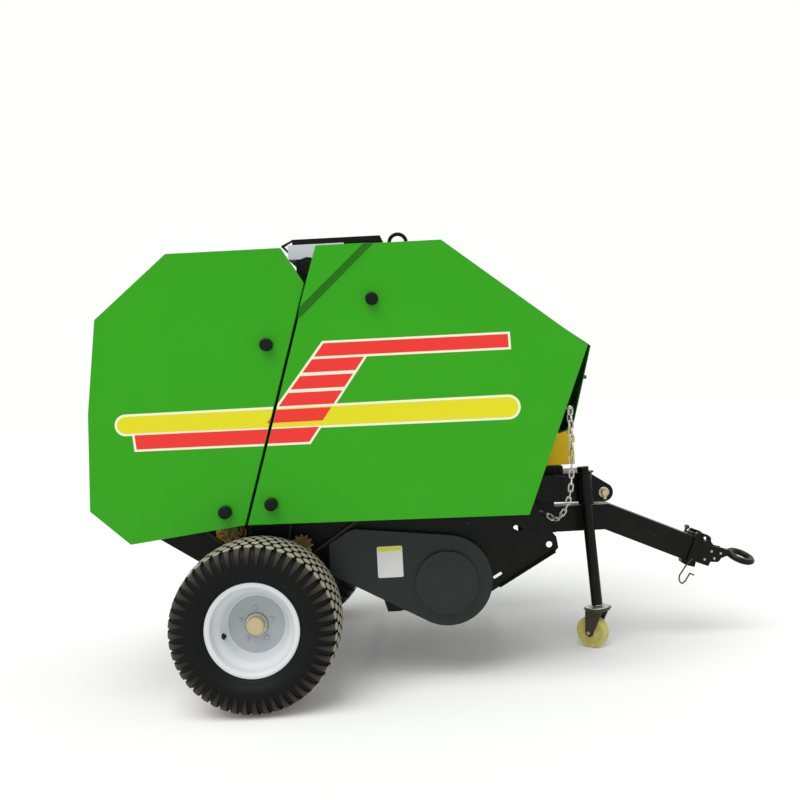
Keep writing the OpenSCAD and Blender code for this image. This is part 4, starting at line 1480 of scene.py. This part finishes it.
@dataclass(frozen=True)
class Hitch:
    """Bolts, pins and plates on the drawbar, its head and the jack."""

    head_x: float = 1451.5
    head_z: float = 310.7
    drop: float = 24.0
    lug_x: float = 1143.0
    lug_z: float = 535.0
    lug_out: float = 103.0
    pin_reach: float = 30.6
    pin_radius: float = 11.4
    washer_bore: float = 11.2
    washer_radius: float = 18.6
    washer_height: float = 5.6
    tab_set_in: float = 9.0
    tab_thickness: float = 2.5
    cheek_face: float = 55.0
    fork_face: float = 28.0
    bolt_flats: float = 7.0
    race_height: float = 12.0
    caster_yaw: float = -38.0
    leg_face: float = 27.5
    axle_bolt: float = 9.0

    def on_head(self, along: float, across: float) -> Point:
        """Place on the head's side, from steps along and across the drawbar's slope."""
        fall = math.radians(self.drop)
        x = self.head_x + along * math.cos(fall) + across * math.sin(fall)
        return x, self.head_z - along * math.sin(fall) + across * math.cos(fall)

    def bolts(self) -> None:
        """Bolt the head together."""
        cheek, fork = self.cheek_face, self.fork_face
        places = {(70, 18): cheek, (57, -17): cheek, (97, -3): fork, (112, 22): fork}
        marks = []
        for side in Side:
            for (along, across), face in places.items():
                x, z = self.on_head(along, across)
                marks.append(Mark(place(x, side.value * face, z), Vector((0, side.value, 0))))
        add_piece("hitch_bolts", on_marks(hex_bolt(self.bolt_flats), marks, ZINC), ZINC, "frame")

    def lug_pin(self) -> None:
        """Lay a bright washer and a brass pin end over each end of the cross pin."""
        face, bore, rim, radius = self.lug_out, self.washer_bore, self.washer_radius, self.pin_radius
        top, end = face + self.washer_height, face + self.pin_reach
        washer = [(bore, face), (rim, face), (rim, top - 1), (rim - 1, top), (bore, top)]
        sleeve = [(0, face + 5), (radius, face + 5), (radius, end - 1.6), (radius - 1.6, end), (0, end)]
        tab = [(-4.5, -22), (4.5, -22), (6, 6), (3, 12), (-3, 12), (-6, 6)]
        outline = [(self.lug_x + x, self.lug_z + z) for x, z in tab]
        spot = place(self.lug_x, 0, self.lug_z)
        inner = end - self.tab_set_in
        for side in Side:
            for label, profile, finish in (("washer", washer, ZINC), ("sleeve", sleeve, BRASS)):
                mesh = turned_out(label, profile, side, spot)
                add_piece(f"lug_{label}_{side.word}", mesh, finish, "frame")
            flag = prism(outline, inner, inner + self.tab_thickness, side)
            add_piece(f"lug_tab_{side.word}", flag, BRASS, "frame")

    def on_axle_bolt(self, face: BMFace) -> bool:
        """Whether a face of the caster fork is on an end of its axle bolt."""
        reach = face.calc_center_median() - middle("caster_wheel")
        yaw = math.radians(self.caster_yaw)
        along = reach.dot(Vector((-math.sin(yaw), math.cos(yaw), 0)))
        return abs(along) > self.leg_face * MM and abs(reach.z) < self.axle_bolt * MM

    def jack(self) -> None:
        """Paint the jack and its caster, and leave the swivel race and axle bolt bright."""
        race_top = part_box("caster_fork")[1].z + self.race_height * MM
        dress_parted("jack_tube", BLACK, "race", ZINC, lambda face: face.calc_center_median().z < race_top)
        dress_parted("caster_fork", OLIVE, "bolt", ZINC, self.on_axle_bolt)
        dress("caster_wheel", CASTER, 3.0)

    def build(self) -> None:
        """Fit out the hitch and jack."""
        dress("hitch_pin", DARK_STEEL, 0.6)
        self.bolts()
        self.lug_pin()
        self.jack()


@dataclass(frozen=True)
class DriveInput:
    """Splined input shaft in its open guard."""

    spline_count: int = 6
    tip_radius: float = 17.5
    root_radius: float = 14.6
    spline_length: float = 51.0
    tip_angle: float = 12.0
    root_angle: float = 16.0

    def outline(self) -> list[Point]:
        """Outline of the splines about the shaft's axis.

        Returns:
            The outline, anticlockwise.
        """
        start = (self.root_angle, self.root_radius)
        top = (self.tip_angle, self.tip_radius)
        tooth = [(-start[0], start[1]), (-top[0], top[1]), top, start]
        points = []
        for index in range(self.spline_count):
            for lead, radius in tooth:
                angle = math.radians(360 * index / self.spline_count + lead)
                points.append((radius * math.cos(angle), radius * math.sin(angle)))
        return points

    def build(self) -> None:
        """Cut the splines on the shaft's front end and paint the guard."""
        low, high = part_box("pto_shaft")
        front = high.x - self.spline_length * MM
        journal, _ = parted(rounded("pto_shaft", 0.6), lambda face: face.calc_center_median().x > front)
        splines = slab(self.outline(), 0, self.spline_length)
        turned = Matrix.Rotation(math.radians(-90), 4, "Z")
        splines.transform(Matrix.Translation((front, 0, (low.z + high.z) / 2)) @ turned)
        shaft = joined("input shaft", [journal, smooth(splines, 25.0)])
        add_piece("pto_shaft.splined", shaft, ZINC, BODY_OF["pto_shaft"], ["pto_shaft"])
        dress("pto_guard", AMBER, 1.0)


@dataclass(frozen=True)
class GuardPlate:
    """Blank plate on the chain guard."""

    left: float = 360.0
    right: float = 440.0
    bottom: float = 341.0
    top: float = 439.0
    corner: float = 5.0
    band: float = 17.0
    margin: float = 2.5
    bulge: float = 18.0

    def outline(self) -> list[Point]:
        """Outline of the plate, with rounded corners."""
        left, right = self.left + self.corner, self.right - self.corner
        low, high = self.bottom + self.corner, self.top - self.corner
        corners = [(right, low, -90), (right, high, 0), (left, high, 90), (left, low, 180)]
        return [point for x, z, turn in corners for point in arc((x, z), self.corner, turn, turn + 90, 5)]

    def build(self) -> None:
        """Lay the plate and its plain band on the guard's flat face."""
        face = -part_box("chain_guard")[0].y / MM - self.bulge
        plate = prism(self.outline(), face - 0.5, face + 0.8, Side.RIGHT)
        add_piece("guard_plate", plate, PLATE, "frame")
        level = self.top - self.band
        strip = kept(self.outline(), (self.left, level), (self.right, level))
        band = prism(grown(strip, -self.margin), face, face + 1.0, Side.RIGHT)
        add_piece("guard_plate_band", band, STRIPE_YELLOW, "frame")


@dataclass(frozen=True)
class Chassis:
    """Walls, rails, covers and the rest of the rigid steelwork."""

    black: tuple[str, ...] = (
        "side_wall_right", "side_wall_left", "front_rail", "axle", "hitch_frame", "drawbar", "hitch_head",
        "tow_ring", "top_hood", "lifting_rings", "gearbox", "drive_tube", "pickup_plate_right",
        "pickup_plate_left", "gate_wall_right", "gate_wall_left", "gate_tubes",
    )

    def build(self) -> None:
        """Round and paint every rigid node."""
        for node in self.black:
            dress(node, BLACK)
        # The covers take the darker green copy, which is painted shade.
        for node in ("slope_cover", "nose_cover"):
            dress(node, SHADED_COVER_GREEN, 0.8)
        dress("pickup_bands", SLATE, 1.0)
        dress("chain_guard", SLATE, 2.6)
        dress("top_rail", RAIL)
        for node in ("pickup_reel", "safety_chain"):
            dress(node, ZINC, 0.6)


@dataclass(frozen=True)
class Studio:
    """Camera, floor and soft light."""

    camera_x: float = 537.5
    camera_y: float = -3461.0
    camera_z: float = 931.0
    roll: float = 3.0
    lens: float = 43.2
    shift_x: float = -0.031
    shift_y: float = -0.015
    fill: float = 0.58
    sun_strength: float = 1.75
    sun_width: float = 50.0
    sun_aim: tuple[float, float, float] = (0.25, 0.5, -1.0)
    floor_size: float = 30.0
    floor_lift: float = 0.08
    floor_drop: float = 0.001

    def camera(self) -> None:
        """Set the camera at the photograph's place."""
        data = bpy.data.cameras.new("camera")
        data.lens = self.lens
        data.sensor_width = 36.0
        data.shift_x = self.shift_x
        data.shift_y = self.shift_y
        camera = linked("camera", data)
        upright = Matrix.Rotation(math.radians(90), 4, "X")
        tilt = Matrix.Rotation(math.radians(self.roll), 4, "Y")
        spot = place(self.camera_x, self.camera_y, self.camera_z)
        camera.matrix_world = Matrix.Translation(spot) @ tilt @ upright
        bpy.context.scene.camera = camera

    def floor(self) -> None:
        """Lay a pale floor that keeps the shadow and meets the white background."""
        work = bmesh.new()
        bmesh.ops.create_grid(work, x_segments=1, y_segments=1, size=self.floor_size)
        mesh = to_mesh(work, "floor")
        material = bpy.data.materials.new("pale floor")
        material.use_nodes = True
        lay = Wiring(material.node_tree)
        seen = lay.add("ShaderNodeLightPath").outputs["Is Camera Ray"]
        surface = {
            "Base Color": (0.95, 0.95, 0.945, 1.0),
            "Roughness": 0.95,
            "Specular IOR Level": 0.0,
            "Emission Color": (1.0, 1.0, 1.0, 1.0),
            "Emission Strength": lay.math("MULTIPLY", seen, self.floor_lift),
        }
        lay.feed(material.node_tree.nodes["Principled BSDF"], surface)
        mesh.materials.append(material)
        floor = linked("floor", mesh)
        floor.location.z = -self.floor_drop

    def sun(self) -> None:
        """Hang one wide soft lamp high in front of the right side."""
        data = bpy.data.lights.new("sun", "SUN")
        data.energy = self.sun_strength
        data.angle = math.radians(self.sun_width)
        lamp = linked("sun", data)
        lamp.rotation_euler = Vector(self.sun_aim).to_track_quat("-Z", "Y").to_euler()

    def world(self) -> None:
        """Fill the room with even light, white where the camera looks past the floor."""
        world = bpy.data.worlds.new("studio")
        bpy.context.scene.world = world
        world.use_nodes = True
        lay = Wiring(world.node_tree)
        rays = lay.add("ShaderNodeLightPath").outputs
        mirrored = lay.math("MAXIMUM", rays["Is Glossy Ray"], rays["Is Transmission Ray"])
        seen = lay.math("MAXIMUM", rays["Is Camera Ray"], mirrored)
        strength = lay.math("MULTIPLY_ADD", seen, 1.0 - self.fill, self.fill)
        sky = {"Color": (1.0, 1.0, 0.995, 1.0), "Strength": strength}
        lay.feed(world.node_tree.nodes["Background"], sky)

    def build(self) -> None:
        """Set up the whole studio."""
        self.camera()
        self.floor()
        self.world()
        self.sun()
        bpy.context.scene.view_settings.view_transform = "Standard"


def main() -> None:
    """Build the studio and every sub-assembly."""
    logging.basicConfig(level=logging.INFO, format="%(name)s: %(message)s")
    Studio().build()
    SidePanels().build()
    for side in Side:
        Wheel(side).build()
    Chassis().build()
    Chamber().build()
    Hitch().build()
    DriveInput().build()
    GuardPlate().build()


if __name__ == "__main__":
    main()
